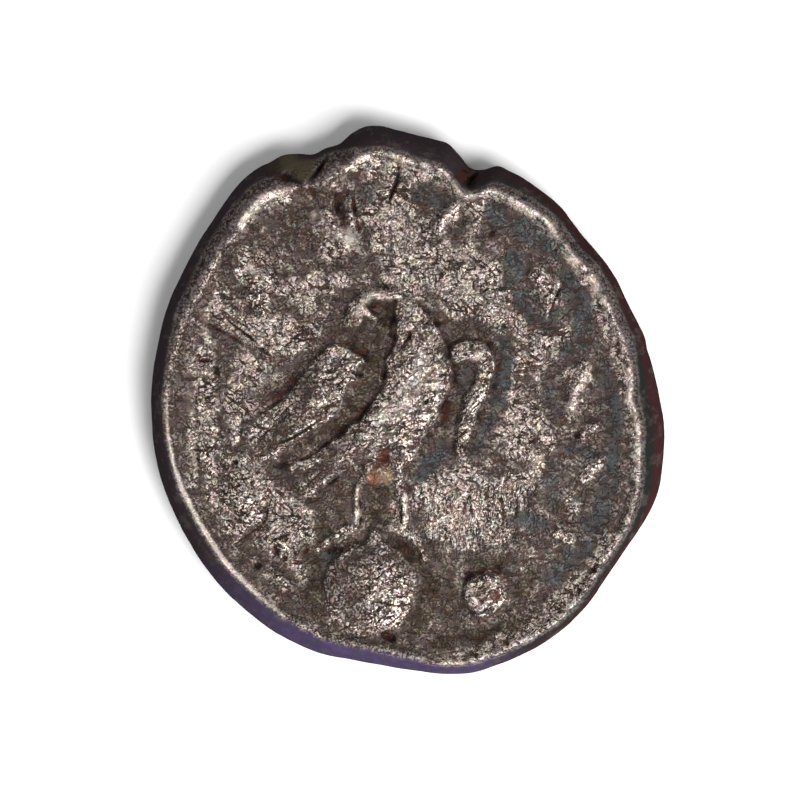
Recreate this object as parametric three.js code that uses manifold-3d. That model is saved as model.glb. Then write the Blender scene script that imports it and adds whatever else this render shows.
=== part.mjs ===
// A worn struck silver coin lying flat: an irregular flan with a raised border, an eagle standing on
// a globe on its upper face, and a star in a wreath on its underside. Millimetres, +Z up, origin in
// the middle of the underside, +Y towards the eagle's head.
import * as THREE from "three";
import { mergeVertices } from "three/addons/utils/BufferGeometryUtils.js";
import Module from "manifold-3d";

// Heights above the table.
const UNDER_FIELD_Z = 0.3;
const WIDEST_Z = 0.85;
const FIELD_Z = 1.45;
const CREST_Z = 1.75;
const SINK = 0.2; // how far each raised figure reaches down into the flan

// Heights of the relief above the field that it stands on.
const BODY_RISE = 0.42;
const FLAT_RISE = 0.24; // the low platform under the swelling of the body and the wing
const WING_RISE = 0.32;
const FEATHER_RISE = 0.34;
const LEG_RISE = 0.22;
const GLOBE_RISE = 0.42;
const STROKE_RISE = 0.2;
const UNDER_RISE = 0.18;

// The flan is turned on a lathe at this radius, then each point is drawn in or out to the outline.
const LATHE_RADIUS = 9;
const LATHE_STEPS = 112;
const LATHE_CREST = 8.3;

const GLOBE = { x: -1.2, y: -6.35, radius: 1.6 };
const SILVER = { color: 0x8c7d76, roughness: 0.5, metalness: 0.7 };

// The edge of the flan, counter-clockwise from +X. It has a fold at the upper left and a split at
// the upper right, with a tongue of metal standing out between them.
const OUTLINE = [
  [8.6, 0], [8.2, 1.5], [7.6, 2.9], [6.9, 4.3], [6, 5.4], [5, 6.6], [4.1, 7.3], [3.1, 7.8],
  [2.4, 7.6], [2.1, 7.8], [1.6, 8.5], [0.7, 8.8], [-0.1, 9], [-1.3, 9.2], [-1.9, 9], [-2.4, 8.6],
  [-3.2, 8.2], [-4.4, 8.1], [-5.4, 7.5], [-6.3, 6.4], [-7.3, 4.8], [-8.1, 3], [-8.6, 0.5],
  [-8.5, -1.7], [-7.9, -3.7], [-6.3, -6.2], [-3.8, -8.2], [-1.8, -8.8], [1.9, -9.25],
  [3.2, -8.9], [4.7, -8.1], [5.9, -7.1], [7, -5.6], [8.2, -3.6], [8.65, -1.7],
];

// How far the border's crest stands in from the edge, at directions in degrees from +X.
const CREST_INSET = [
  [0, 0.55], [45, 0.65], [70, 0.75], [92, 0.95], [112, 1], [128, 0.95], [155, 0.7], [185, 0.5],
  [235, 0.5], [275, 0.6], [300, 0.5], [325, 0.35], [360, 0.55],
];

const wasm = await Module();
wasm.setup();

function solidOf(geometry) {
  const bare = geometry.clone();
  bare.deleteAttribute("normal");
  bare.deleteAttribute("uv");
  const merged = mergeVertices(bare, 1e-4);
  return new wasm.Manifold(
    new wasm.Mesh({
      numProp: 3,
      vertProperties: merged.attributes.position.array,
      triVerts: new Uint32Array(merged.index.array),
    }),
  );
}

function curveThrough(points, closed) {
  const places = points.map(([x, y]) => new THREE.Vector3(x, y, 0));
  return new THREE.CatmullRomCurve3(places, closed, "centripetal");
}

// Distance from the centre to the outline at each of the lathe's directions.
function outlineRadii() {
  const rim = curveThrough(OUTLINE, true).getPoints(1200);
  const turn = (2 * Math.PI) / LATHE_STEPS;
  return Array.from({ length: LATHE_STEPS }, (_, step) => {
    const facing = step * turn;
    let nearest = rim[0];
    let smallest = Infinity;
    for (const point of rim) {
      const away = Math.atan2(point.y, point.x) - facing;
      const gap = Math.abs(Math.atan2(Math.sin(away), Math.cos(away)));
      if (gap < smallest) {
        smallest = gap;
        nearest = point;
      }
    }
    return nearest.length();
  });
}

function crestInset(degrees) {
  const next = CREST_INSET.findIndex(([from]) => from > degrees);
  const [fromA, insetA] = CREST_INSET[next - 1];
  const [fromB, insetB] = CREST_INSET[next];
  return THREE.MathUtils.mapLinear(degrees, fromA, fromB, insetA, insetB);
}

// The disc: its profile runs from the middle of the underside, over the flat land that it lies on,
// round the edge to the crest, and back across the upper field.
function makeFlan() {
  const profile = [
    [0, UNDER_FIELD_Z],
    [3.8, UNDER_FIELD_Z],
    [7.1, UNDER_FIELD_Z],
    [7.5, 0],
    [8.3, 0],
    [8.75, 0.2],
    [9, WIDEST_Z - 0.2],
    [9, WIDEST_Z + 0.1],
    [8.8, 1.3],
    [8.5, 1.62],
    [LATHE_CREST, CREST_Z],
    [8.05, 1.7],
    [7.7, FIELD_Z],
    [3.8, FIELD_Z],
    [0, FIELD_Z],
  ].map(([radius, height]) => new THREE.Vector2(radius, height));
  const lathe = new THREE.LatheGeometry(profile, LATHE_STEPS);
  lathe.rotateX(Math.PI / 2);
  const radii = outlineRadii();
  const place = lathe.attributes.position;
  for (let i = 0; i < place.count; i++) {
    const x = place.getX(i);
    const y = place.getY(i);
    const turned = Math.hypot(x, y);
    if (turned < 0.01) continue;
    const facing = (Math.atan2(y, x) + 2 * Math.PI) % (2 * Math.PI);
    const step = Math.round((facing * LATHE_STEPS) / (2 * Math.PI)) % LATHE_STEPS;
    const edge = radii[step];
    const crest = edge - crestInset((step * 360) / LATHE_STEPS);
    const drawn =
      turned < LATHE_CREST
        ? (turned * crest) / LATHE_CREST
        : THREE.MathUtils.mapLinear(turned, LATHE_CREST, LATHE_RADIUS, crest, edge);
    place.setXY(i, (x / turned) * drawn, (y / turned) * drawn);
  }
  return solidOf(lathe);
}

// A figure with a sloped shoulder, standing on the upper field.
function raise(shape, rise, slope) {
  const geometry = new THREE.ExtrudeGeometry(shape, {
    depth: SINK + rise * 0.35,
    bevelThickness: rise * 0.65,
    bevelSize: slope,
    bevelOffset: -slope,
    bevelSegments: 2,
    curveSegments: 4,
    steps: 1,
  });
  // The bevel stands on both ends, so the lower one is buried in the flan.
  geometry.translate(0, 0, FIELD_Z - SINK);
  return solidOf(geometry);
}

function blob(points, divisions) {
  const rim = curveThrough(points, true).getPoints(divisions).slice(0, -1);
  return new THREE.Shape(rim.map((p) => new THREE.Vector2(p.x, p.y)));
}

// A ribbon along a curve, its width running from one end's to the other's, with blunt ends.
function ribbon(points, startWidth, endWidth, divisions = 6) {
  const curve = curveThrough(points, false);
  const left = [];
  const right = [];
  for (let i = 0; i <= divisions; i++) {
    const along = i / divisions;
    const middle = curve.getPoint(along);
    const ahead = curve.getTangent(along);
    const half = THREE.MathUtils.lerp(startWidth, endWidth, along) / 2;
    left.push(new THREE.Vector2(middle.x - ahead.y * half, middle.y + ahead.x * half));
    right.unshift(new THREE.Vector2(middle.x + ahead.y * half, middle.y - ahead.x * half));
  }
  return new THREE.Shape([...left, ...right].reverse());
}

// A swelling with an oval foot, turned about its middle, in degrees. It swells from both sides of
// the height it is centred on, and the half that lies inside the flan is lost in it.
function dome({ at: [x, y], size: [long, wide], rise, turn = 0, steps = 16, from = FIELD_Z }) {
  const geometry = new THREE.SphereGeometry(1, steps, steps / 2);
  geometry.rotateX(Math.PI / 2);
  geometry.scale(long / 2, wide / 2, rise);
  geometry.rotateZ(THREE.MathUtils.degToRad(turn));
  geometry.translate(x, y, from);
  return solidOf(geometry);
}

// Breast, back and tail in one mass, leaning from the shoulders down to the tail at the lower left.
function makeBody() {
  const platform = blob(
    [
      [-0.3, 3.2], [0.3, 3.2], [0.9, 2.7], [1.4, 1.7], [1.55, 0.7], [1.1, -0.7], [0.4, -1.9],
      [-0.1, -2.6], [-1.3, -2.3], [-2.4, -2.6], [-3.3, -3.2], [-3.9, -2.7], [-3.3, -1.9],
      [-2.1, -1.1], [-1.3, -0.2], [-0.75, 0.5], [-0.7, 1.4], [-0.4, 2.2],
    ],
    48,
  );
  const tailFeathers = [
    [[-1.3, -0.9], [-3.4, -2.25]],
    [[-1.1, -1.3], [-3.6, -2.7]],
    [[-0.8, -1.6], [-3.3, -3]],
  ];
  return [
    raise(platform, FLAT_RISE, 0.18),
    dome({ at: [0.45, 1.2], size: [3.6, 1.9], rise: BODY_RISE, turn: 96 }),
    dome({ at: [0.15, -0.3], size: [3.6, 1.9], rise: BODY_RISE, turn: 62 }),
    ...tailFeathers.map((path) => raise(ribbon(path, 0.45, 0.35, 1), FEATHER_RISE, 0.12)),
  ];
}

// The head looks left, and its beak curls over and down.
function makeHead() {
  return [
    dome({ at: [-0.05, 3], size: [1.1, 0.9], rise: BODY_RISE, turn: 150 }),
    raise(ribbon([[-0.2, 3.35], [-1, 3.4], [-1.6, 3.2], [-1.75, 2.75]], 0.45, 0.15), 0.32, 0.05),
    raise(ribbon([[-0.9, 3.1], [-1.25, 2.95], [-1.4, 2.6]], 0.35, 0.25, 4), 0.28, 0.08),
  ];
}

function makeLeftWing() {
  const platform = blob(
    [
      [-2.3, 1.8], [-1.6, 1.4], [-1.35, 1], [-1.6, 0.3], [-2.5, -0.7], [-3.4, -1.5],
      [-4.4, -2.1], [-4.9, -1.8], [-5, -1.2], [-4.4, -0.2], [-3.4, 0.8],
    ],
    36,
  );
  const feathers = [
    [[-3, 0.7], [-4.75, -0.9]],
    [[-2.7, 0.35], [-4.75, -1.45]],
    [[-2.35, -0.05], [-4.4, -1.85]],
  ];
  return [
    raise(platform, FLAT_RISE, 0.16),
    dome({ at: [-2.2, 0.9], size: [1.9, 1.2], rise: WING_RISE + 0.08, turn: 45 }),
    ...feathers.map((path) => raise(ribbon(path, 0.5, 0.4, 1), FEATHER_RISE, 0.13)),
  ];
}

// The far wing is seen as a narrow arched band.
function makeRightWing() {
  const band = [
    [1.65, 1.4], [2.1, 1.7], [2.6, 1.6], [2.75, 1], [2.5, 0], [2.1, -1], [1.85, -1.95],
  ];
  return raise(ribbon(band, 0.4, 0.25, 14), WING_RISE, 0.1);
}

function makeLegs() {
  return [
    raise(ribbon([[-1.8, -2.2], [-1.8, -4.4]], 0.32, 0.28, 2), LEG_RISE, 0.08),
    raise(ribbon([[-0.15, -2.3], [-0.2, -4.35]], 0.4, 0.28, 2), LEG_RISE, 0.08),
    raise(ribbon([[-1.7, -4.4], [-2.3, -4.6], [-3, -5.2]], 0.26, 0.16, 5), LEG_RISE, 0.06),
    raise(ribbon([[-0.5, -4.4], [0.1, -4.6], [0.6, -5.3]], 0.34, 0.16, 5), LEG_RISE, 0.07),
  ];
}

function makeGlobe() {
  const arc = [new THREE.Vector2(0, -SINK), new THREE.Vector2(GLOBE.radius, -SINK)];
  for (let i = 0; i <= 5; i++) {
    const lift = (i / 5) * (Math.PI / 2);
    const radius = GLOBE.radius * Math.cos(lift);
    arc.push(new THREE.Vector2(i < 5 ? radius : 0, GLOBE_RISE * Math.sin(lift)));
  }
  const dome = new THREE.LatheGeometry(arc, 28);
  dome.rotateX(Math.PI / 2);
  dome.translate(GLOBE.x, GLOBE.y, FIELD_Z);
  return solidOf(dome);
}

// Rows of short shallow strokes in the places of the inscription. Each place is [x, y, turn of its
// strokes in degrees, stroke length, stroke count]. The strokes of one place lie aslant side by
// side, every second one shorter and slipped along, so that they are hatching and nothing more.
function makeStrokes() {
  const GAP = 0.62;
  const places = [
    [-2.15, 5.9, 128, 1.3, 2], [1.9, 5.9, 42, 1.5, 2], [4.3, 3.6, 72, 1.3, 2], [5.8, 0.4, 35, 1.1, 2],
    [6.2, -2.2, 20, 0.8, 1], [5.4, -4.5, -30, 1, 1], [-5.1, 3.9, 100, 1.6, 2], [-6.6, 1.5, 140, 0.8, 3],
    [-6.8, -1.6, 35, 0.8, 4], [-6.1, -4.3, 15, 0.8, 2],
  ];
  const made = places.flatMap(([x, y, turn, length, count]) => {
    const angle = THREE.MathUtils.degToRad(turn);
    const along = new THREE.Vector2(Math.cos(angle), Math.sin(angle));
    return Array.from({ length: count }, (_, i) => {
      const aside = (i - (count - 1) / 2) * GAP;
      const shorter = i % 2;
      const half = (length * (1 - 0.3 * shorter)) / 2;
      const slip = 0.25 * shorter;
      const midX = x - along.y * aside + along.x * slip;
      const midY = y + along.x * aside + along.y * slip;
      const path = [
        [midX - along.x * half, midY - along.y * half],
        [midX + along.x * half, midY + along.y * half],
      ];
      return raise(ribbon(path, 0.45, 0.36, 1), STROKE_RISE, 0.12);
    });
  });
  return [...made, dome({ at: [2.65, -6.62], size: [1.6, 1.6], rise: STROKE_RISE * 1.4 })];
}

// The underside: a six-rayed star inside two sprays of leaves that rise from the foot.
function makeWreath() {
  const LEAVES = 9;
  const SPRAY_RADIUS = 5;
  const RAYS = 6;
  const onUnderside = { rise: UNDER_RISE, steps: 8, from: UNDER_FIELD_Z };
  const made = [];
  for (const side of [-1, 1]) {
    for (let i = 0; i < LEAVES; i++) {
      const around = -90 + side * (12 + i * 17);
      for (const [away, splay] of [[-0.42, 62], [0.42, 118]]) {
        const facing = THREE.MathUtils.degToRad(around);
        const radius = SPRAY_RADIUS - away;
        const at = [radius * Math.cos(facing), radius * Math.sin(facing)];
        made.push(dome({ at, size: [1.4, 0.5], turn: around + side * splay, ...onUnderside }));
      }
    }
  }
  for (let ray = 0; ray < RAYS; ray++) {
    const around = 30 + (ray * 360) / RAYS;
    const facing = THREE.MathUtils.degToRad(around);
    const at = [1.25 * Math.cos(facing), 1.25 * Math.sin(facing)];
    made.push(dome({ at, size: [1.5, 0.42], turn: around, ...onUnderside }));
  }
  return [...made, dome({ at: [0, 0], size: [0.7, 0.7], ...onUnderside })];
}

// The split at the upper right goes right through the edge, and a finer crack runs down the tongue.
function makeCracks() {
  const cuts = [
    [[[2.45, 8.1], [2.25, 7.6], [1.95, 7.05]], 0.5, 0.06],
    [[[-0.3, 7.8], [-0.35, 7.1], [-0.6, 6.6]], 0.14, 0.06],
  ];
  return cuts.map(([path, from, to], i) => {
    const deep = new THREE.ExtrudeGeometry(ribbon(path, from, to, 3), {
      depth: 3,
      bevelEnabled: false,
    });
    deep.translate(0, 0, i === 0 ? WIDEST_Z : FIELD_Z - 0.15);
    return solidOf(deep);
  });
}

function makeCoin() {
  const raised = [
    ...makeBody(),
    ...makeHead(),
    ...makeLeftWing(),
    makeRightWing(),
    ...makeLegs(),
    makeGlobe(),
    ...makeStrokes(),
    ...makeWreath(),
  ];
  const struck = raised.reduce((whole, figure) => whole.add(figure), makeFlan());
  const split = makeCracks().reduce((whole, crack) => whole.subtract(crack), struck);
  const made = split.getMesh();
  const geometry = new THREE.BufferGeometry();
  geometry.setAttribute("position", new THREE.BufferAttribute(made.vertProperties, 3));
  geometry.setIndex(new THREE.BufferAttribute(made.triVerts, 1));
  geometry.computeBoundingBox();
  const middle = geometry.boundingBox.getCenter(new THREE.Vector3());
  geometry.translate(-middle.x, -middle.y, -geometry.boundingBox.min.z);
  geometry.computeVertexNormals();
  const coin = new THREE.Mesh(geometry, new THREE.MeshStandardMaterial(SILVER));
  coin.name = "coin";
  return coin;
}

const part = new THREE.Group();
part.add(makeCoin());

export default part;
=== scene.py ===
"""A worn struck silver coin lying flat, with an eagle standing on a globe, seen from straight above."""

import math

import bpy
import numpy as np
from bpy.props import FloatProperty, FloatVectorProperty, IntProperty, PointerProperty
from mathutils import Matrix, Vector


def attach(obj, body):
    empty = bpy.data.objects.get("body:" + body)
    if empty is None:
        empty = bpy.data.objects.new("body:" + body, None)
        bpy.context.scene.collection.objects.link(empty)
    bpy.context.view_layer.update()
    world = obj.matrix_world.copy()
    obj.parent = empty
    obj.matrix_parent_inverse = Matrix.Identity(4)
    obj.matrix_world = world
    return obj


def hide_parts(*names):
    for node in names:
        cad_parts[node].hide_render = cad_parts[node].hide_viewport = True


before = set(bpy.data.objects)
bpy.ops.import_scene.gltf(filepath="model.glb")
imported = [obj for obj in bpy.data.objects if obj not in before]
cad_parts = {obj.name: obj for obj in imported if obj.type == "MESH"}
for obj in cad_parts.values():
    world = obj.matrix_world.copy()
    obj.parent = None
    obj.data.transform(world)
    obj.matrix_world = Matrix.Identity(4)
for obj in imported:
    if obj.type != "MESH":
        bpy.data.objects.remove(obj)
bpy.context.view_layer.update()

bl_info = {
    "name": "Worn struck coin",
    "version": (1, 0, 0),
    "blender": (4, 5, 0),
    "location": "View3D > Sidebar > Coin",
    "description": "Strikes a worn silver coin with an eagle on a globe, and lights it",
    "category": "Object",
}

MM = 0.001

# Lengths below are in millimetres. The figures are drawn in the die's own plane, and its middle lies
# here on the coin.
DIE_X = -0.026
DIE_Y = 0.029

# Stands for a distance that isn't found yet.
FAR = 9.0
# Keeps a division from failing on a span that has no length.
TINY = 1e-12
# Straight pieces in each span of a curve.
CURVE_PIECES = 8
# A figure starts to rise here, measured inwards from its outline.
RISE_FROM = -0.02


# ---------------------------------------------------------------- repeatable unevenness

def scatter(column, row, seed):
    """A repeatable number from 0 to 1 for each pair of whole numbers."""
    mixed = (column * 374761393 + row * 668265263 + seed * 974634777) & 0xFFFFFFFF
    mixed = ((mixed ^ (mixed >> 13)) * 1274126177) & 0xFFFFFFFF
    return ((mixed ^ (mixed >> 16)) & 0xFFFF) / 65535.0


def level_ends(t):
    """A rise from 0 to 1 that starts and ends level."""
    return t * t * t * (t * (t * 6 - 15) + 10)


def ripple(x, y, size, seed, octaves=1):
    """Smooth unevenness from about -1 to 1, its lumps about size across, with finer lumps on it."""
    total = np.zeros_like(x)
    weight = 1.0
    weights = 0.0
    for octave in range(octaves):
        # The shift keeps the pattern's own lines off the coin's middle.
        across = x / size + 37.2
        up = y / size + 11.7
        column = np.floor(across).astype(np.int64)
        row = np.floor(up).astype(np.int64)
        fx = level_ends(across - column)
        fy = level_ends(up - row)
        layer = seed + 101 * octave
        low = scatter(column, row, layer) * (1 - fx) + scatter(column + 1, row, layer) * fx
        high = scatter(column, row + 1, layer) * (1 - fx) + scatter(column + 1, row + 1, layer) * fx
        total += weight * (2 * (low * (1 - fy) + high * fy) - 1)
        weights += weight
        weight *= 0.55
        size *= 0.5
    return total / weights


# ---------------------------------------------------------------- curves and raised figures

def ease(value, low, high):
    """0 below low, 1 above high, and a smooth rise between them."""
    t = np.clip((value - low) / (high - low), 0.0, 1.0)
    return t * t * (3 - 2 * t)


def bell(distance, width):
    """1 at no distance, falling away smoothly on both sides."""
    return np.exp(-((distance / width) ** 2))


def bow(progress):
    """0 at both ends of a curve and 1 in its middle."""
    return np.sqrt(np.clip(4 * progress * (1 - progress), 0, 1))


def curve_through(points, closed=False):
    """Places along a smooth curve through the given points."""
    knots = np.array(points, float)
    count = len(knots)
    spans = count if closed else count - 1
    found = []
    for i in range(spans):
        p1 = knots[i]
        p2 = knots[(i + 1) % count]
        p0 = knots[i - 1] if closed or i > 0 else 2 * p1 - p2
        p3 = knots[(i + 2) % count] if closed or i + 2 < count else 2 * p2 - p1
        a, b, c = (max(np.linalg.norm(q - p) ** 0.5, 1e-6) for p, q in ((p0, p1), (p1, p2), (p2, p3)))
        leave = b * ((p1 - p0) / a - (p2 - p0) / (a + b) + (p2 - p1) / b)
        reach = b * ((p2 - p1) / b - (p3 - p1) / (b + c) + (p3 - p2) / c)
        t = np.linspace(0, 1, CURVE_PIECES, endpoint=False)[:, None]
        found.append((2 * t**3 - 3 * t**2 + 1) * p1 + (t**3 - 2 * t**2 + t) * leave
                     + (-2 * t**3 + 3 * t**2) * p2 + (t**3 - t**2) * reach)
    if not closed:
        found.append(knots[-1:])
    return np.concatenate(found)


def from_span(x, y, start, end):
    """How far places are from a straight span, and how far along it they lie, from 0 to 1."""
    dx, dy = end[0] - start[0], end[1] - start[1]
    across, up = x - start[0], y - start[1]
    t = np.clip((across * dx + up * dy) / (dx * dx + dy * dy + TINY), 0, 1)
    return np.hypot(across - t * dx, up - t * dy), t


class Face:
    """One face of the coin: the places of its points in the die's plane, and their height."""

    def __init__(self, x, y):
        self.x = x
        self.y = y
        self.height = np.zeros_like(x)
        # Each figure is drawn at slightly wandering places, as a worn one is.
        self.wander_x = x + 0.035 * ripple(x, y, 0.55, 3, 2)
        self.wander_y = y + 0.035 * ripple(x, y, 0.55, 4, 2)
        self.figure = np.zeros_like(x)
        self.foot = np.full_like(x, FAR)
        self.tones = {name: np.zeros_like(x) for name in TONES}

    def near(self, line, margin):
        """The points that lie in a box round a line."""
        low = line.min(axis=0) - margin
        high = line.max(axis=0) + margin
        inside = (self.x > low[0]) & (self.x < high[0]) & (self.y > low[1]) & (self.y < high[1])
        return np.nonzero(inside)[0]

    def inside_of(self, rim, margin=0.9):
        """Depth inside a closed outline: positive within it and negative outside."""
        rim = curve_through(rim, closed=True)
        at = self.near(rim, margin)
        x = self.wander_x[at]
        y = self.wander_y[at]
        away = np.full_like(x, FAR)
        within = np.zeros(len(at), bool)
        for start, end in zip(rim, np.roll(rim, -1, axis=0)):
            away = np.minimum(away, from_span(x, y, start, end)[0])
            dx, dy = end - start
            crosses = (start[1] > y) != (end[1] > y)
            within ^= crosses & (x < start[0] + dx * (y - start[1]) / (dy if dy else TINY))
        return at, np.where(within, away, -away)

    def inside_round(self, x, y, radius, reach):
        """Depth inside a circle, out to a distance from its middle."""
        away = np.hypot(self.wander_x - x, self.wander_y - y)
        at = np.nonzero(away < reach)[0]
        return at, radius - away[at]

    def beside(self, path, start_width, end_width, margin=0.9, wander=1.0):
        """Depth inside a ribbon along a curve, and how far along it each place is."""
        line = curve_through(path)
        at = self.near(line, margin + max(start_width, end_width) / 2)
        x = self.x[at] + wander * (self.wander_x[at] - self.x[at])
        y = self.y[at] + wander * (self.wander_y[at] - self.y[at])
        deepest = np.full_like(x, -FAR)
        progress = np.zeros_like(x)
        spans = len(line) - 1
        for i in range(spans):
            away, t = from_span(x, y, line[i], line[i + 1])
            along = (i + t) / spans
            depth = (start_width + (end_width - start_width) * along) / 2 - away
            closer = depth > deepest
            deepest = np.where(closer, depth, deepest)
            progress = np.where(closer, along, progress)
        return at, deepest, progress

    def stand(self, at, depth, rise, shoulder, moat=0.02, wall=0.35):
        """Raises a figure: a low wall round it, the rest of its rise domed over a broad shoulder."""
        x = self.x[at]
        y = self.y[at]
        depth = depth + 0.06 * ripple(x, y, 0.24, 8, 2)
        t = np.clip(depth / shoulder, 0, 1)
        dome = t * (2 - t)
        swell = rise * (wall * ease(depth, RISE_FROM, 0.13) + (1 - wall) * dome)
        # A moat runs round the wall, broken here and there.
        broken = 0.5 + 0.9 * ripple(x, y, 0.5, 11, 2)
        groove = moat * np.clip(broken, 0, 1.5) * bell(np.minimum(depth, 0), 0.12) * (depth < 0)
        here = self.height[at]
        self.height[at] = np.where(depth > RISE_FROM, np.maximum(here, swell), here - groove * (here < 0.05))
        self.figure[at] = np.maximum(self.figure[at], ease(depth, RISE_FROM, 0.12))
        self.foot[at] = np.where(depth > 0.05, FAR, np.minimum(self.foot[at], np.maximum(-depth, 0)))

    def stand_ribbons(self, ribbons, moat):
        """Raises a ribbon for each row: its curve, its two widths, its rise and its shoulder."""
        for path, start, end, rise, shoulder in ribbons:
            at, depth, _ = self.beside(path, start, end)
            self.stand(at, depth, rise, shoulder, moat)

    def wear_in(self, at, depth, rise, softness):
        """Raises a figure that is worn down to a ragged swelling with no moat."""
        ragged = depth + 0.12 * ripple(self.x[at], self.y[at], 0.3, 9, 2)
        swell = rise * ease(ragged, -0.08, softness)
        self.height[at] = np.maximum(self.height[at], swell + np.minimum(self.height[at], 0))
        self.figure[at] = np.maximum(self.figure[at], 0.85 * ease(ragged, 0.0, 0.2))

    def cut(self, path, width, deep):
        """Presses a groove along a curve, deepest in its middle and fading at its ends."""
        at, depth, progress = self.beside(path, 0.0, 0.0, 0.4, 0.5)
        uneven = 0.75 + 0.5 * ripple(self.x[at], self.y[at], 0.4, 14)
        pressed = bow(progress) * uneven * bell(depth, width)
        self.height[at] -= deep * pressed
        self.tones["deep"][at] = np.maximum(self.tones["deep"][at], min(1, deep * 9) * pressed)

    def heap(self, path, width, rise):
        """Adds a soft ridge along a curve."""
        at, depth, progress = self.beside(path, 0.0, 0.0, 0.8)
        self.height[at] += rise * bow(progress) * bell(depth, width)

    def paint(self, tone, path, start_width, end_width, strength):
        """Lays a soft, ragged band of one tone along a curve."""
        soft = 0.32
        at, depth, _ = self.beside(path, start_width, end_width, 0.7, 4.0)
        depth = depth + 0.2 * ripple(self.x[at], self.y[at], 0.35, 15, 2)
        laid = strength * ease(depth, -soft, soft)
        self.tones[tone][at] = np.maximum(self.tones[tone][at], laid)


# ---------------------------------------------------------------- the struck design

def strike_near_wing(face):
    """The near wing, at the left, hangs open behind the body with its long feathers downwards."""
    # Its crest runs down its right side, and it falls away to the upper left.
    wing = [(-2.45, 1.88), (-2.1, 1.82), (-1.75, 1.65), (-1.42, 1.38), (-1.3, 1.16), (-1.62, 0.98),
            (-1.6, 0.6), (-1.95, 0.42), (-2.06, 0.1), (-2.1, -0.15), (-2.42, -0.66), (-2.86, -0.94),
            (-3.3, -1.25), (-3.9, -1.7), (-4.5, -2.1), (-5.1, -1.9), (-5.4, -1.2), (-4.9, -0.5),
            (-4.25, 0), (-3.75, 0.55), (-3.35, 1.15), (-2.85, 1.65)]
    at, depth = face.inside_of(wing)
    fade = 1 - 0.85 * ease(-(face.x[at] + 0.3 * face.y[at]), 3.7, 5.4)
    face.stand(at, depth, 0.22 * fade, 0.8, 0.02, 0.45)
    face.heap([(-1.85, 1.3), (-1.95, 0.75), (-2.2, 0.2), (-2.4, -0.35)], 0.26, 0.16)
    face.heap([(-2.5, -0.5), (-3.2, -0.85), (-4.0, -1.3)], 0.2, 0.07)
    face.heap([(-2.95, 0.3), (-3.6, -0.35), (-4.4, -0.95)], 0.25, 0.05)


def strike_body(face):
    """Breast, back and tail in one outline, the tail falling away, and the thighs below."""
    body = [(-0.46, 3.18), (-0.3, 3.42), (0.1, 3.46), (0.42, 3.14), (0.9, 2.74), (1.2, 2.2), (1.46, 1.5),
            (1.52, 0.9), (1.4, 0.2), (1.02, -0.66), (0.68, -1.2), (0.45, -1.65), (0.12, -2.2),
            (-0.3, -2.5), (-0.8, -2.1), (-1.3, -2.1), (-1.85, -2.32), (-2.4, -2.62), (-3, -3.15),
            (-3.45, -3.3), (-3.9, -2.75), (-4.0, -2.3), (-3.2, -1.82), (-2.5, -1.28), (-2.0, -0.95),
            (-1.65, -0.66), (-1.4, -0.3), (-1.12, 0.05), (-0.8, 0.45), (-0.76, 0.9), (-0.74, 1.36),
            (-0.56, 1.66), (-0.45, 1.9), (-0.42, 2.5)]
    at, depth = face.inside_of(body)
    tail = ease(-(face.x[at] + face.y[at]), 2.4, 5.6)
    face.stand(at, depth, 0.34 * (1 - 0.62 * tail), 1.15, 0.03, 0.4)
    face.heap([(0.05, 3.2), (0.5, 2.55), (0.7, 1.9)], 0.3, 0.1)
    face.heap([(0.75, 1.5), (0.85, 0.6), (0.5, -0.4), (0, -1.2)], 0.45, 0.07)
    at, depth = face.inside_of([(-1.35, -1.9), (-0.9, -1.7), (-0.2, -1.9), (-0.2, -2.7), (-1.55, -2.75)])
    face.stand(at, depth, 0.16, 0.6, 0.0, 0.1)


def strike_head(face):
    """The beak, a crescent steepest on its inner side, creases of the neck, and the hollow between."""
    face.stand_ribbons((
        ([(-0.3, 3.5), (-0.9, 3.52), (-1.4, 3.36), (-1.7, 3.05), (-1.8, 2.7)], 0.4, 0.72, 0.24, 0.36),
        ([(-0.5, 3.44), (-1.05, 3.46), (-1.4, 3.26)], 0.2, 0.26, 0.26, 0.1),
        ([(-1.52, 3.15), (-1.4, 2.92), (-1.12, 2.7)], 0.36, 0.2, 0.28, 0.1),
    ), 0.0)
    face.cut([(-0.12, 1.6), (-0.12, 1.85), (0.08, 2.1), (0.1, 2.35)], 0.06, 0.12)
    face.cut([(0.58, 2.46), (0.78, 2.56)], 0.05, 0.1)
    face.cut([(-0.42, 1.8), (-0.2, 1.74), (0.02, 1.82)], 0.1, 0.08)
    hollow = [(-1.38, 3.14), (-0.62, 3.28), (-0.5, 2.9), (-0.5, 2.3), (-1.0, 2.68)]
    at, depth = face.inside_of(hollow, 0.5)
    face.height[at] -= 0.12 * ease(depth, RISE_FROM, 0.12)


def strike_far_wing(face):
    """The far wing shows as an arched band, highest along the inner side of its top."""
    at, depth, _ = face.beside([(1.66, 1.52), (2.1, 1.68), (2.46, 1.6), (2.64, 1.3), (2.6, 0.8),
                                (2.36, 0.2), (2.1, -0.4), (1.94, -1.0), (1.86, -1.75)], 0.6, 0.5)
    face.stand(at, depth + 0.05, 0.24, 0.34, 0.03, 0.3)
    face.heap([(1.66, 1.42), (2.05, 1.46), (2.4, 1.4)], 0.13, 0.12)


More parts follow.
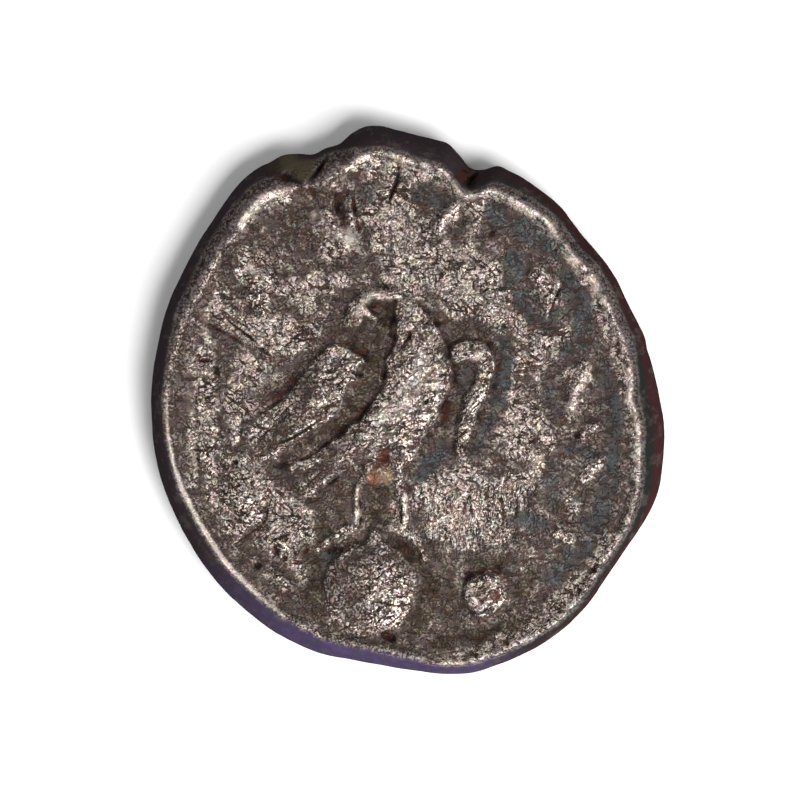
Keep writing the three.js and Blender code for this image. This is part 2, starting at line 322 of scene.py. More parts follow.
def strike_legs(face):
    """Two legs, their claws, and the stump between the claws and the globe."""
    face.stand_ribbons((
        ([(-1.2, -2.3), (-1.55, -2.7), (-1.7, -3.1), (-1.72, -3.6), (-1.7, -4.3)], 0.14, 0.32, 0.16, 0.16),
        ([(-0.25, -2.2), (-0.28, -2.8), (-0.14, -3.6), (-0.1, -4.3)], 0.36, 0.34, 0.16, 0.18),
        ([(-1.9, -4.35), (-2.4, -4.6), (-2.96, -5.02)], 0.42, 0.34, 0.09, 0.22),
        ([(-0.62, -4.3), (-0.1, -4.45), (0.28, -4.72), (0.48, -5.02), (0.58, -5.38)], 0.36, 0.26, 0.18, 0.2),
        ([(-1.1, -4.5), (-1.08, -5.2)], 0.4, 1.0, 0.18, 0.4),
    ), 0.01)


def strike_eagle(face):
    """The eagle, from its near wing at the left to its claws on the globe."""
    for strike in (strike_near_wing, strike_body, strike_head, strike_far_wing, strike_legs):
        strike(face)


def strike_feathers(face):
    """Grooves between the long feathers of wing and tail."""
    for path, width, deep in (
        ([(-3.6, 0.25), (-4.25, -0.05), (-4.95, -0.4)], 0.06, 0.05),
        ([(-3.3, -0.1), (-4.1, -0.62), (-4.7, -1.1), (-5.1, -1.42)], 0.05, 0.07),
        ([(-2.95, -0.72), (-3.5, -1.1), (-4.1, -1.4), (-4.9, -1.6)], 0.06, 0.12),
        ([(-3.2, -1.05), (-3.8, -1.5), (-4.35, -1.85)], 0.05, 0.07),
        ([(-2.95, 0.9), (-2.6, 0.98), (-2.45, 1.08)], 0.05, 0.07),
        ([(-1.95, 0.98), (-1.7, 0.84), (-1.42, 0.8)], 0.07, 0.14),
        ([(-2.75, 0.35), (-2.6, 0.05), (-2.7, -0.2)], 0.05, 0.08),
        ([(-2.7, -0.15), (-2.72, -0.5)], 0.08, 0.12),
        ([(-2.4, -0.4), (-2.68, -0.55), (-2.7, -0.85)], 0.05, 0.08),
        ([(-3.05, 0.2), (-3.25, -0.05)], 0.06, 0.07),
        ([(-2.5, 0.2), (-2.3, 0.0)], 0.05, 0.07),
        ([(-2.7, -2.25), (-3.1, -2.65), (-3.5, -3.05)], 0.05, 0.08),
        ([(-2.0, -1.5), (-2.8, -2.0), (-3.6, -2.6)], 0.04, 0.05),
        ([(-1.7, -1.85), (-2.3, -2.2), (-3.0, -2.85)], 0.04, 0.05),
        ([(-1.85, -2.25), (-2.4, -2.7), (-3.1, -3.2)], 0.06, 0.07),
        ([(-1.05, -0.95), (-0.7, -0.7)], 0.03, 0.06),
        ([(-0.5, -1.2), (-1.5, -1.75)], 0.04, 0.03),
        ([(0.4, 0.2), (0.6, -0.1), (0.75, 0.1)], 0.05, 0.05),
    ):
        face.cut(path, width, deep)


def strike_globe(face):
    """The globe under the claws, with creases at its top and a nick at its foot."""
    at, depth = face.inside_round(-1.24, -6.36, 1.64, 2.6)
    depth = depth + 0.06 * ripple(face.x[at], face.y[at], 0.5, 17, 2)
    face.stand(at, depth, 0.42, 1.6, 0.01, 0.2)
    face.cut([(-1.46, -5.5), (-1.2, -5.8), (-0.92, -6.1)], 0.04, 0.08)
    face.cut([(-0.6, -5.5), (-0.4, -5.7)], 0.05, 0.05)
    face.cut([(-0.9, -7.8), (-0.6, -8.0), (-0.35, -8.0)], 0.16, 0.12)


# Worn strokes in the places of the inscription, each a short band. None of them forms a letter. A row
# gives the stroke's curve, its width at its start and end, and its rise.
STROKES = (
    # upper left
    ([(-5.35, 5.75), (-4.9, 4.85), (-4.5, 4.1)], 0.16, 0.3, 0.14),
    ([(-5.75, 4.3), (-5.3, 3.9)], 0.4, 0.5, 0.1), ([(-4.95, 3.95), (-4.95, 3.4)], 0.9, 1.0, 0.17),
    ([(-3.2, 6.0), (-2.9, 5.1)], 0.1, 0.14, 0.08),
    ([(-2.75, 6.4), (-2.55, 5.9), (-2.15, 5.35)], 0.3, 0.5, 0.17),
    ([(-2.0, 6.8), (-1.85, 5.9)], 0.24, 0.4, 0.17),
    # top right
    ([(1.05, 5.6), (1.35, 6.1), (1.7, 6.6)], 0.4, 0.5, 0.15), ([(2.1, 5.3), (2.35, 5.8)], 0.3, 0.3, 0.08),
    # right side
    ([(4.35, 4.15), (4.6, 3.7), (4.75, 3.3)], 0.8, 0.65, 0.17),
    ([(4.75, 2.95), (4.65, 2.7)], 0.35, 0.25, 0.08),
    ([(5.9, 1.0), (5.7, 0.3), (5.4, -0.3)], 0.45, 0.55, 0.13), ([(5.3, 0.9), (5.4, 0.75)], 0.3, 0.25, 0.08),
    ([(6.3, -0.9), (5.8, -1.35)], 0.4, 0.4, 0.09), ([(6.5, -2.0), (5.95, -2.6)], 0.5, 0.5, 0.12),
    ([(5.0, -4.5), (5.5, -4.75)], 0.5, 0.4, 0.12),
    # left side, nearly worn away
    ([(-6.75, 2.2), (-6.6, 1.8)], 0.5, 0.5, 0.13), ([(-6.8, 0.95), (-6.5, 0.75)], 0.5, 0.4, 0.13),
    ([(-6.9, -0.1), (-6.4, -0.35)], 0.5, 0.4, 0.12), ([(-6.75, -0.9), (-6.5, -1.0)], 0.5, 0.4, 0.12),
    ([(-6.85, -1.8), (-6.7, -2.3)], 0.6, 0.5, 0.12), ([(-5.6, -3.1), (-5.2, -3.9)], 0.9, 0.9, 0.13),
    ([(-4.7, -4.6), (-4.1, -4.9)], 0.6, 0.6, 0.1), ([(-3.7, -4.2), (-3.3, -4.7)], 0.7, 0.5, 0.1),
    ([(-4.4, -5.9), (-4.0, -6.2)], 0.5, 0.5, 0.1),
)
# Every stroke rises this many times as high as its row says.
STROKE_LIFT = 1.35


def strike_inscription(face):
    """The worn strokes, and a round boss at the lower right with a pit off its middle."""
    for path, start, end, rise in STROKES:
        at, depth, _ = face.beside(path, start, end)
        face.wear_in(at, depth, rise * STROKE_LIFT, 0.26)
    at, depth = face.inside_round(2.62, -6.6, 0.74, 1.8)
    depth = depth + 0.07 * ripple(face.x[at], face.y[at], 0.35, 19, 2)
    face.stand(at, depth, 0.24, 0.5, 0.05, 0.5)
    face.cut([(2.88, -6.35), (3.05, -6.6), (2.98, -6.85)], 0.1, 0.1)


def strike_damage(face):
    """Cracks, scratches and pits that came after the striking."""
    for path, width, deep in (
        ([(-0.3, 8.15), (-0.3, 7.5), (-0.48, 7.0), (-0.66, 6.55)], 0.06, 0.16),
        ([(-2.6, 8.6), (-2.8, 7.95), (-3.1, 7.5), (-3.38, 7.15)], 0.08, 0.2),
        ([(-3.35, 7.2), (-3.1, 6.8), (-3.2, 6.4)], 0.12, 0.1),
        ([(-4.4, 7.55), (-3.9, 7.4), (-3.4, 7.2)], 0.12, 0.12),
        ([(2.42, 7.7), (2.2, 7.4), (2.0, 7.05)], 0.12, 0.4),
        ([(-1.88, 6.95), (-1.75, 6.3), (-1.58, 5.5)], 0.06, 0.13),
        ([(-2.3, 6.9), (-2.35, 6.4), (-2.1, 5.95)], 0.11, 0.16),
        ([(-5.2, 5.85), (-4.7, 4.9), (-4.28, 4.0)], 0.05, 0.08),
        ([(-5.95, 5.6), (-6.15, 4.9), (-5.9, 4.3)], 0.1, 0.06),
        ([(-6.9, 2.66), (-5.9, 2.1), (-4.85, 1.45)], 0.05, 0.11),
        ([(-1.55, -5.45), (-1.2, -5.8), (-0.9, -6.02)], 0.06, 0.09),
        ([(-6.2, 2.75), (-5.3, 2.1), (-4.4, 1.3)], 0.05, 0.11),
        ([(1.5, 5.3), (1.75, 5.7)], 0.1, 0.06),
        ([(4.7, 4.45), (5.2, 3.9), (4.9, 3.25), (4.75, 2.7)], 0.05, 0.1),
        ([(3.7, 4.05), (4.1, 4.3), (4.5, 4.5)], 0.12, 0.05),
        ([(5.2, 1.2), (5.9, 1.25)], 0.14, 0.05), ([(5.5, -1.75), (6.2, -1.55)], 0.14, 0.05),
        ([(4.9, -3.95), (5.35, -4.1), (5.85, -4.4)], 0.05, 0.1),
        ([(-5.0, -2.7), (-4.72, -3.4), (-4.75, -4.05), (-5.35, -4.55), (-5.9, -4.98)], 0.06, 0.1),
        ([(0.6, -3.1), (1.5, -3.2), (2.5, -3.3)], 0.03, 0.06),
        ([(2.67, -2.9), (2.7, -3.4)], 0.06, 0.1),
        ([(-0.5, -4.62), (-0.1, -4.9), (0.2, -5.35)], 0.16, 0.07),
        ([(-0.72, -4.6), (-0.4, -5.05)], 0.06, 0.1),
        ([(-2.2, -4.85), (-2.9, -5.3)], 0.2, 0.07),
        ([(-1.62, -3.0), (-1.58, -3.8), (-1.58, -4.35)], 0.04, 0.08),
        ([(-0.28, -3.2), (-0.2, -3.9), (-0.22, -4.25)], 0.04, 0.08),
        ([(-7.0, 1.32), (-6.5, 1.28)], 0.08, 0.14), ([(-7.1, 0.2), (-6.6, 0.16)], 0.04, 0.1),
        ([(-7.2, -1.14), (-6.55, -1.16)], 0.04, 0.1), ([(-6.8, -1.66), (-6.3, -1.6)], 0.04, 0.08),
        ([(-6.4, 1.2), (-6.35, 0.3)], 0.14, 0.06), ([(-6.45, -1.6), (-6.4, -2.4)], 0.14, 0.06),
    ):
        face.cut(path, width, deep)
    for x, y, radius, deep in ((6.24, -5.7, 0.1, 0.12), (5.76, -6.4, 0.09, 0.12), (-5, -5.6, 0.14, 0.1),
                               (2.85, 5.55, 0.12, 0.08), (-0.75, -2, 0.16, 0.08), (0.65, -0.1, 0.07, 0.07),
                               (5.7, -1.2, 0.14, 0.06), (-4.4, -5.1, 0.16, 0.08), (-5.75, -2.13, 0.09, 0.1),
                               (-4.1, -5.35, 0.1, 0.1), (-3.4, -5.1, 0.1, 0.08), (2.55, 0.45, 0.06, 0.06)):
        spot = np.exp(-(((face.x - x) ** 2 + (face.y - y) ** 2) / radius**2))
        face.height -= deep * spot
        face.tones["deep"] = np.maximum(face.tones["deep"], spot)


# Where each tone lies: curves along it, with its width at their start and end, and its strength. Some rows
# lay painted shade or painted highlights, as marked.
TONES = {
    "slate": (
        ([(3.8, -4.0), (4.5, -4.2)], 0.5, 0.5, 0.9), ([(-4.1, -6.0), (-3.7, -6.3)], 0.4, 0.4, 0.7),
        ([(1.95, 1.1), (2.05, 0.75), (1.8, 0.2)], 0.35, 0.4, 1),
        ([(3.25, 1.9), (3.3, 0.9), (3.0, -0.1)], 0.5, 0.6, 0.9),
        ([(2.8, -0.6), (2.5, -1.3), (2.3, -1.9)], 0.4, 0.35, 0.9),
        ([(1.4, -1.4), (1.0, -2.0), (0.4, -2.5)], 0.5, 0.7, 0.9),
        ([(3.1, 6.2), (4.0, 5.6), (5.0, 5.0)], 0.9, 0.9, 0.75), ([(3.5, 4.6), (3.4, 3.9)], 0.7, 0.5, 0.9),
        ([(5.3, 4.2), (5.8, 3.0), (6.0, 1.9)], 0.6, 0.7, 0.9), ([(3.8, 3.4), (4.1, 2.5)], 0.5, 0.4, 0.9),
        ([(4.9, 2.9), (4.7, 2.5)], 0.7, 0.5, 0.9), ([(5.3, 1.6), (5.5, 1.2)], 0.5, 0.4, 0.8),
        ([(6.6, 1.2), (6.8, 0.2), (6.9, -1.4), (6.7, -2.8), (6.2, -4.2)], 0.5, 0.7, 0.85),
        ([(4.8, 0.3), (4.9, -0.6)], 0.7, 0.5, 0.6), ([(5.3, -1.65), (6.6, -1.75)], 0.4, 0.4, 1),
        ([(5.9, -5.0), (4.9, -6.0)], 0.8, 0.7, 0.7), ([(4.9, -2.2), (4.8, -3.4)], 0.7, 0.7, 0.5),
        ([(-4.0, -1.5), (-4.75, -1.75)], 0.3, 0.4, 0.7), ([(-4.3, -2.3), (-3.9, -2.7)], 0.3, 0.4, 0.7),
        # The first row here lies on the globe's upper left: painted shade in the slate colour.
        ([(-2.9, -5.4), (-2.1, -5.35)], 0.7, 0.5, 0.9), ([(0.6, 6.9), (1.3, 6.65)], 0.7, 0.6, 0.7),
        ([(-1.6, 7.0), (-1.1, 6.8)], 0.5, 0.5, 0.6), ([(0.7, 3.45), (1.0, 3.2)], 0.4, 0.4, 0.5),
    ),
    "olive": (
        ([(-1.75, 2.2), (-1.5, 1.75), (-1.35, 0.9), (-1.75, 0.3), (-2.0, -0.3)], 0.5, 0.35, 0.9),
        ([(-0.8, 2.9), (-0.95, 2.2), (-1.05, 1.5), (-1.15, 0.9), (-1.5, 0.25), (-1.85, -0.3),
          (-2.4, -0.85), (-3.1, -1.3), (-3.8, -1.8), (-4.4, -2.15)], 0.65, 0.26, 1),
        ([(1.15, 2.75), (1.45, 2.3), (1.7, 1.95)], 0.35, 0.5, 0.8),
        ([(-1.75, 2.75), (-1.65, 2.2), (-1.5, 1.95)], 0.5, 0.4, 1),
        ([(1.9, 2.35), (2.8, 2.25)], 0.5, 0.4, 0.7),
        ([(1.75, 0.4), (1.5, -0.4), (1.15, -1.1)], 0.3, 0.4, 0.8),
        ([(-1, -2.85), (-1, -4.3)], 1.0, 0.7, 0.8), ([(-2.3, -2.9), (-2.3, -3.9)], 0.7, 0.5, 0.6),
        ([(-3.1, -3.6), (-2.8, -4.4)], 0.5, 0.5, 0.8),
        ([(0.45, -5.4), (0.7, -6.2), (0.5, -7.1), (0.2, -7.8)], 0.6, 0.7, 1),
        ([(1.5, -5.4), (1.6, -6.2), (1.6, -7.3)], 0.5, 0.6, 0.6),
        ([(0.9, -8.1), (2.4, -7.9), (3.6, -7.5)], 0.5, 0.5, 0.9),
        ([(3.75, -6.4), (4.2, -5.9)], 0.5, 0.7, 0.8), ([(2.2, -5.45), (3.5, -5.5)], 0.4, 0.6, 0.7),
        ([(-3.15, -5.6), (-3.2, -6.6), (-2.9, -7.4)], 0.5, 0.45, 1),
        ([(6.2, 2.0), (6.5, 0.7)], 0.4, 0.4, 0.7), ([(5.5, 4.0), (5.6, 3.2)], 0.4, 0.4, 0.7),
        ([(-4.6, 7.8), (-3.5, 7.8)], 0.4, 0.4, 1),
        ([(-7.55, 2.2), (-7.65, 0), (-7.3, -2), (-6.6, -4)], 0.5, 0.5, 0.45),
        ([(-2.3, 2.4), (-1.6, 2.25)], 0.6, 0.5, 0.9), ([(-6.35, 1.3), (-6.4, 0.3)], 0.4, 0.4, 0.7),
        ([(-5.2, 5.7), (-4.2, 6.2), (-3.4, 6.2)], 0.6, 0.8, 0.6),
        ([(-4.0, 5.4), (-3.7, 4.9)], 0.6, 0.5, 0.5), ([(-3.2, 6.9), (-2.5, 6.9)], 0.5, 0.5, 0.8),
        ([(1.5, 5.2), (2.0, 6.2)], 0.25, 0.25, 0.9), ([(2.9, 5.6), (3.3, 5.2)], 0.5, 0.5, 0.6),
        ([(-6.0, 5.3), (-6.0, 4.3)], 0.3, 0.4, 0.7), ([(4.6, -3.4), (5.2, -3.7)], 0.5, 0.5, 0.6),
        # Under the claws: olive dirt, and painted shadow.
        ([(-2.6, -4.6), (-3.4, -5.2)], 0.4, 0.6, 0.9),
        ([(-0.6, -4.75), (-0.1, -5.0), (0.35, -5.6)], 0.3, 0.6, 1),
        ([(0.9, -5.0), (1.3, -5.8), (1.3, -7.0)], 0.5, 0.6, 0.7),
        ([(3.0, -0.3), (2.9, -1.0)], 0.4, 0.3, 0.5), ([(-4.2, 3.2), (-3.4, 2.6)], 0.5, 0.5, 0.4),
    ),
    "toned": (
        ([(0.2, -5.7), (0.35, -6.2)], 0.4, 0.35, 1), ([(3.1, 3.2), (3.6, 2.9)], 0.4, 0.4, 0.9),
        ([(-1.6, 6.3), (-1.3, 5.6)], 0.6, 0.5, 1), ([(0.4, 6.0), (0.9, 5.4)], 0.6, 0.5, 1),
        ([(4.7, 1.6), (4.9, 1.2)], 0.35, 0.35, 0.8), ([(3.9, -4.1), (4.7, -4.1)], 0.35, 0.35, 0.8),
        ([(-0.6, -4.3), (0.3, -4.2)], 0.4, 0.4, 1),
        ([(-5.3, -3.4), (-4.8, -4.0), (-5.8, -4.8)], 0.6, 0.6, 1),
        ([(-4.8, -5.3), (-3.8, -6.1)], 0.5, 0.6, 1), ([(2.6, -3.1), (3.0, -2.8)], 0.5, 0.5, 0.9),
        ([(0.2, 3.8), (0.6, 3.4)], 0.35, 0.35, 0.7),
        # The near wing's upper-left side, away from the light: painted shade.
        ([(-3.0, 1.7), (-3.5, 1.05), (-4.0, 0.35), (-5.0, -0.3)], 0.8, 0.5, 1),
        ([(-2.1, 2.6), (-2.3, 3.2)], 0.5, 0.4, 0.7),
        ([(-1.7, -1.7), (-2.6, -2.3), (-3.4, -2.9)], 1.2, 1.1, 0.6),
        ([(-0.5, 1.2), (-0.5, 0.3)], 0.3, 0.3, 0.4),
        # The globe's left side, away from the light: painted shade.
        ([(-2.4, -5.4), (-2.6, -6.2), (-2.3, -7.0)], 0.8, 0.9, 0.8),
        ([(-1.2, -5.2), (-0.3, -5.4), (0.1, -6.0)], 0.4, 0.4, 0.9),
        ([(-6.0, 3.8), (-5.2, 3.2), (-4.6, 3.1)], 0.8, 0.7, 1), ([(-1.4, 6.4), (-1.3, 5.2)], 0.4, 0.4, 0.9),
        ([(0.6, 6.2), (0.9, 5.0), (1.6, 4.3)], 0.35, 0.35, 0.9),
        ([(-5.3, -3.9), (-4.8, -4.6), (-4.0, -5.0)], 0.6, 0.5, 0.7),
        ([(-4.0, -5.8), (-3.9, -6.5)], 0.5, 0.5, 0.8), ([(-2.4, -4.35), (-1.7, -4.2)], 0.3, 0.3, 0.8),
        ([(0.0, -2.9), (0.25, -4.3)], 0.3, 0.45, 1), ([(-1.3, -2.5), (-0.3, -2.5)], 0.3, 0.3, 0.6),
        ([(0.7, -0.4), (0.85, -0.9)], 0.3, 0.3, 0.7), ([(-0.6, 8.3), (0.0, 8.25)], 0.25, 0.2, 0.6),
        ([(-6.4, -1.3), (-6.4, -2.5)], 0.3, 0.3, 0.8), ([(-4.9, -1.1), (-5.6, -2.0)], 0.7, 0.7, 0.5),
        ([(-0.1, 2.9), (-0.1, 2.3)], 0.5, 0.4, 0.4), ([(4.8, -2.6), (4.3, -4.4)], 0.5, 0.6, 0.5),
        ([(-5.8, 0.9), (-5.3, 0.2)], 0.6, 0.6, 0.4), ([(5.9, -3.2), (6.3, -3.6)], 0.5, 0.5, 0.6),
        ([(3.2, -7.3), (4.4, -6.9)], 0.8, 0.8, 0.6),
        # The globe's left half: its tone, and painted shade.
        ([(-2.2, -5.8), (-1.8, -6.8), (-0.9, -7.6)], 0.9, 0.9, 0.75),
        ([(-0.6, -7.0), (-0.1, -7.4)], 0.7, 0.6, 0.7),
        ([(0.1, -5.4), (0.3, -6.2), (0.1, -7.2)], 0.35, 0.3, 0.9),
        ([(-5.8, 5.1), (-4.8, 5.0), (-4.2, 4.2)], 0.4, 0.5, 0.9),
        ([(0.45, 3.75), (0.75, 3.3)], 0.3, 0.3, 0.8), ([(-0.5, 1.6), (0.3, 2.1)], 0.5, 0.4, 0.5),
        ([(1.9, -1.5), (2.2, -2.0)], 0.3, 0.3, 0.8), ([(3.9, 0.7), (3.9, 0.0)], 0.4, 0.4, 0.7),
        ([(2.4, -3.0), (3.0, -3.0)], 0.4, 0.4, 0.7),
        ([(-3.5, 0.8), (-3.5, -0.3), (-4.4, -1.2)], 0.8, 0.8, 0.8),
        ([(-7.8, 1.6), (-7.1, 3.4), (-6.1, 4.7)], 0.8, 0.8, 1),
        ([(-4.4, 4.3), (-3.4, 4.4), (-2.0, 4.5)], 0.6, 0.6, 1),
        ([(-0.3, 1.4), (0.1, 1.9), (0.7, 2.05)], 0.4, 0.4, 0.6),
        ([(-5.4, -0.9), (-5.1, -1.3)], 0.6, 0.6, 1),
        ([(0.0, -3.0), (0.3, -3.4), (0.4, -4.5), (1.0, -4.9)], 0.5, 0.6, 1),
        ([(2.5, -3.1), (2.8, -3.5)], 0.45, 0.4, 1), ([(4.2, -3.5), (4.4, -4.3), (3.6, -4.7)], 0.7, 0.6, 1),
        ([(0.9, -4.4), (1.2, -5.2)], 0.4, 0.4, 0.8), ([(-1.45, 6.6), (-1.35, 5.5)], 0.35, 0.35, 1),
        ([(1.1, 6.5), (1.7, 6.75)], 0.3, 0.3, 0.9), ([(-5.9, -3.1), (-5.3, -4.0)], 0.7, 0.7, 0.8),
        ([(-4.4, -4.7), (-4.3, -5.1)], 0.5, 0.5, 0.8), ([(-1.9, -5.9), (-1.2, -6.1)], 0.6, 0.5, 0.7),
        ([(-1.5, -6.6), (-0.9, -7.1), (-0.3, -7.2)], 1.1, 0.8, 0.8),
        ([(-1.2, -5.6), (-0.4, -5.9), (-0.3, -6.6)], 0.8, 0.7, 0.45),
        ([(2.6, -4.4), (4.3, -4.3)], 0.5, 0.6, 0.8), ([(4.3, 4.7), (5.6, 4.4)], 0.3, 0.3, 0.6),
        ([(-6.3, 3.9), (-5.7, 3.0), (-4.9, 2.8)], 0.5, 0.5, 0.7),
        ([(-6.3, 1.9), (-5.7, 1.9)], 0.5, 0.5, 0.6),
        ([(-6.3, -0.7), (-6.3, -1.6), (-6.2, -2.7)], 0.45, 0.5, 0.8),
        ([(-3.5, 5.5), (-3.1, 4.6), (-2.0, 4.4)], 0.6, 0.6, 0.8),
        ([(-1.45, 7.0), (-1.45, 5.4)], 0.45, 0.4, 0.9), ([(0.5, 6.8), (0.55, 5.3)], 0.4, 0.4, 0.9),
        ([(3.7, 3.3), (4.3, 3.2), (4.1, 2.4)], 0.6, 0.5, 0.8),
        ([(0.75, 2.3), (1.1, 1.9), (1.35, 1.3)], 0.3, 0.25, 0.9),
        ([(1.15, -0.2), (0.9, -0.9), (0.4, -1.6)], 0.3, 0.4, 0.6),
        ([(-0.4, -1.9), (0.1, -2.2)], 0.5, 0.4, 0.7), ([(-2.8, -2.4), (-3.6, -2.8)], 0.8, 0.8, 0.8),
        ([(-4.9, 0.0), (-4.0, -0.3), (-3.0, -0.5)], 0.6, 0.5, 0.7),
        ([(-5.0, -1.2), (-4.2, -1.6), (-3.6, -1.6)], 0.6, 0.5, 0.8),
        ([(-5.5, -4.2), (-4.8, -4.7), (-4.2, -5.3)], 0.6, 0.7, 0.8),
        ([(-4.4, -6.4), (-3.7, -6.4)], 0.6, 0.6, 0.7),
        ([(0.2, -5.5), (0.3, -6.3), (0.1, -7.2)], 0.3, 0.3, 0.9),
        ([(-2.2, -5.6), (-1.2, -5.1), (-0.5, -5.3)], 0.7, 0.4, 0.8),
        ([(-1.6, -7.9), (-1.0, -7.8)], 0.4, 0.4, 0.6),
        ([(4.2, -7.6), (6.4, -5.6), (7.6, -3.6)], 0.3, 0.3, 0.6),
        ([(5.2, -1.3), (6.6, -1.3)], 0.6, 0.6, 0.5), ([(6.0, -0.3), (6.4, -0.3)], 0.5, 0.5, 0.6),
        ([(5.8, 1.5), (5.7, 1.3)], 0.5, 0.5, 0.6),
    ),
    "bare": (
        ([(2.2, 6.4), (2.4, 6.2)], 0.4, 0.4, 1), ([(3.3, 5.1), (3.4, 4.7)], 0.35, 0.35, 1),
        ([(4.4, 3.3), (4.5, 2.9)], 0.35, 0.35, 1), ([(5.0, 3.9), (5.9, 3.2)], 0.35, 0.35, 0.9),
        ([(4.5, -2.9), (5.0, -3.4)], 0.4, 0.4, 1), ([(5.2, -4.4), (5.8, -4.6)], 0.4, 0.4, 1),
        ([(-3.0, -7.6), (-2.6, -7.5)], 0.4, 0.4, 1), ([(1.2, -6.5), (1.7, -7.1)], 0.5, 0.4, 0.8),
        ([(4.2, 0.9), (4.5, -0.1)], 0.35, 0.35, 0.7), ([(3.2, 2.4), (3.5, 1.9)], 0.35, 0.3, 0.7),
        ([(2.2, 3.5), (2.4, 2.9)], 0.3, 0.3, 0.6), ([(-3.2, -4.3), (-2.9, -3.9)], 0.35, 0.35, 0.8),
        ([(-2.5, -7.2), (-2.3, -6.7)], 0.5, 0.45, 0.7), ([(1.0, -5.1), (1.6, -5.0)], 0.35, 0.35, 0.7),
        ([(4.0, -5.6), (4.4, -5.6)], 0.35, 0.35, 0.6), ([(6.9, 0.3), (6.9, -1.0)], 0.4, 0.4, 0.5),
        ([(5.3, -1.0), (6.1, -1.0)], 0.3, 0.3, 0.5),
        ([(-0.6, 6.1), (0.5, 4.8), (2.2, 4.1), (3.6, 3.0), (4.2, 2.3)], 2.2, 1.0, 1),
        ([(-4.9, 4.4), (-3.6, 4.0), (-2.5, 4.5)], 1.5, 1.5, 0.8),
        ([(-5.9, 3.2), (-4.4, 2.3), (-3.6, 2.2)], 1.6, 1.2, 0.85),
        ([(-6.7, 1.2), (-6.6, -1.2), (-6.3, -3.0), (-5.6, -4.2)], 0.9, 1.0, 1),
        ([(-5.4, 0.9), (-5.4, -0.8)], 1.2, 1.4, 0.7),
        ([(-5.4, -3.2), (-4.3, -4.9), (-3.9, -6.1)], 1.7, 1.3, 0.9),
        ([(0.6, -3.6), (2.4, -3.8), (4.0, -3.6)], 2.4, 2.2, 1),
        ([(3.5, 1.3), (3.7, -0.2), (4.4, -1.2)], 0.8, 1.4, 0.8),
        ([(2.6, -8.4), (4.4, -7.4), (5.6, -6.3), (6.9, -4.8)], 0.7, 0.6, 1),
        ([(-1.8, 7.7), (-0.4, 7.75), (1.2, 7.3)], 0.6, 0.6, 0.5),
        ([(-0.6, -6.3), (-0.7, -7.2)], 1.6, 1.2, 0.45),
        ([(-0.55, 3.95), (-0.1, 3.7), (0.3, 3.5)], 0.5, 0.6, 1),
        ([(5.9, 3.8), (6.8, 2.6), (7.3, 0.4)], 0.5, 0.7, 0.7), ([(4.2, 6.5), (5.4, 5.0)], 0.4, 0.4, 0.9),
        ([(-3.8, -3.7), (-2.9, -4.0)], 0.6, 0.5, 0.9), ([(-2.7, -7.3), (-2.5, -7.8)], 0.5, 0.5, 0.6),
        ([(3.9, 2.2), (4.8, 1.4)], 0.6, 0.5, 0.8), ([(4.2, -1.6), (4.4, -2.2)], 0.6, 0.5, 0.8),
        ([(0.1, -8.3), (2.6, -8.35)], 0.3, 0.3, 0.6), ([(4.8, -3.3), (5.5, -3.5)], 0.4, 0.4, 0.7),
        ([(2.5, -5.1), (4.3, -5.7)], 0.4, 0.5, 0.6), ([(-3.6, 3.1), (-3.1, 2.9)], 0.4, 0.4, 0.8),
        ([(-4.7, 6.4), (-4.1, 6.5)], 0.4, 0.4, 0.8), ([(-7.2, -0.9), (-7.1, -2.8)], 0.35, 0.35, 1),
        ([(1.5, 3.1), (2.6, 3.3)], 0.9, 0.9, 1), ([(4.4, 1.4), (5.4, 2.2)], 0.5, 0.5, 1),
        ([(5.6, 0.95), (6.6, 0.9)], 0.5, 0.5, 1), ([(2.9, -1.1), (3.5, -1.5)], 0.5, 0.5, 0.9),
        ([(1.7, -2.4), (2.1, -2.3)], 0.4, 0.4, 0.9), ([(-5.7, -1.9), (-5.1, -2.0)], 0.4, 0.4, 0.9),
        ([(-2.9, 5.9), (-2.6, 5.6)], 0.4, 0.4, 1), ([(1.3, 6.3), (2.2, 6.2)], 0.5, 0.5, 1),
        ([(3.2, 5.0), (3.4, 4.8)], 0.4, 0.4, 1),
    ),
    "upright": (
        ([(0.6, -4.0), (2.4, -4.2), (4.2, -3.8)], 2.4, 2.0, 1), ([(-0.2, 6.0), (-0.2, 5.2)], 0.8, 0.8, 0.6),
    ),
    # Rubbed bright metal, and painted highlights where edges face the light: the beak's crest and inner side,
    # the far wing's crest.
    "rubbed_and_highlit": (
        ([(4.2, 0.9), (4.5, -0.1)], 0.3, 0.3, 0.4), ([(3.2, 2.4), (3.5, 1.9)], 0.3, 0.3, 0.4),
        ([(-3.7, 2.6), (-3.3, 2.5)], 0.3, 0.3, 0.4), ([(-3.1, -4.3), (-2.9, -3.9)], 0.3, 0.3, 0.4),
        ([(1.0, -5.1), (1.5, -5.0)], 0.3, 0.3, 0.4), ([(4.0, -5.6), (4.4, -5.7)], 0.3, 0.3, 0.4),
        ([(6.7, 0.9), (6.9, -0.6)], 0.3, 0.3, 0.35), ([(-0.5, 3.1), (-0.2, 3.1)], 0.3, 0.3, 0.35),
        ([(-2.0, 1.4), (-2.4, 0.3)], 0.25, 0.25, 0.4), ([(-1.6, -2.1), (-0.5, -1.2)], 0.3, 0.3, 0.3),
        ([(-0.6, 3.46), (-1.05, 3.5), (-1.5, 3.28), (-1.7, 2.95)], 0.3, 0.4, 0.75),
        ([(-1.42, 3.1), (-1.3, 2.9), (-1.08, 2.72)], 0.16, 0.14, 1),
        ([(-0.3, 3.3), (0.2, 2.95), (0.6, 2.4)], 0.5, 0.5, 0.35),
        ([(-2.2, 1.7), (-1.85, 1.35), (-2.0, 1.0)], 0.35, 0.4, 0.5),
        ([(1.7, 1.44), (2.05, 1.5), (2.35, 1.44)], 0.16, 0.14, 1),
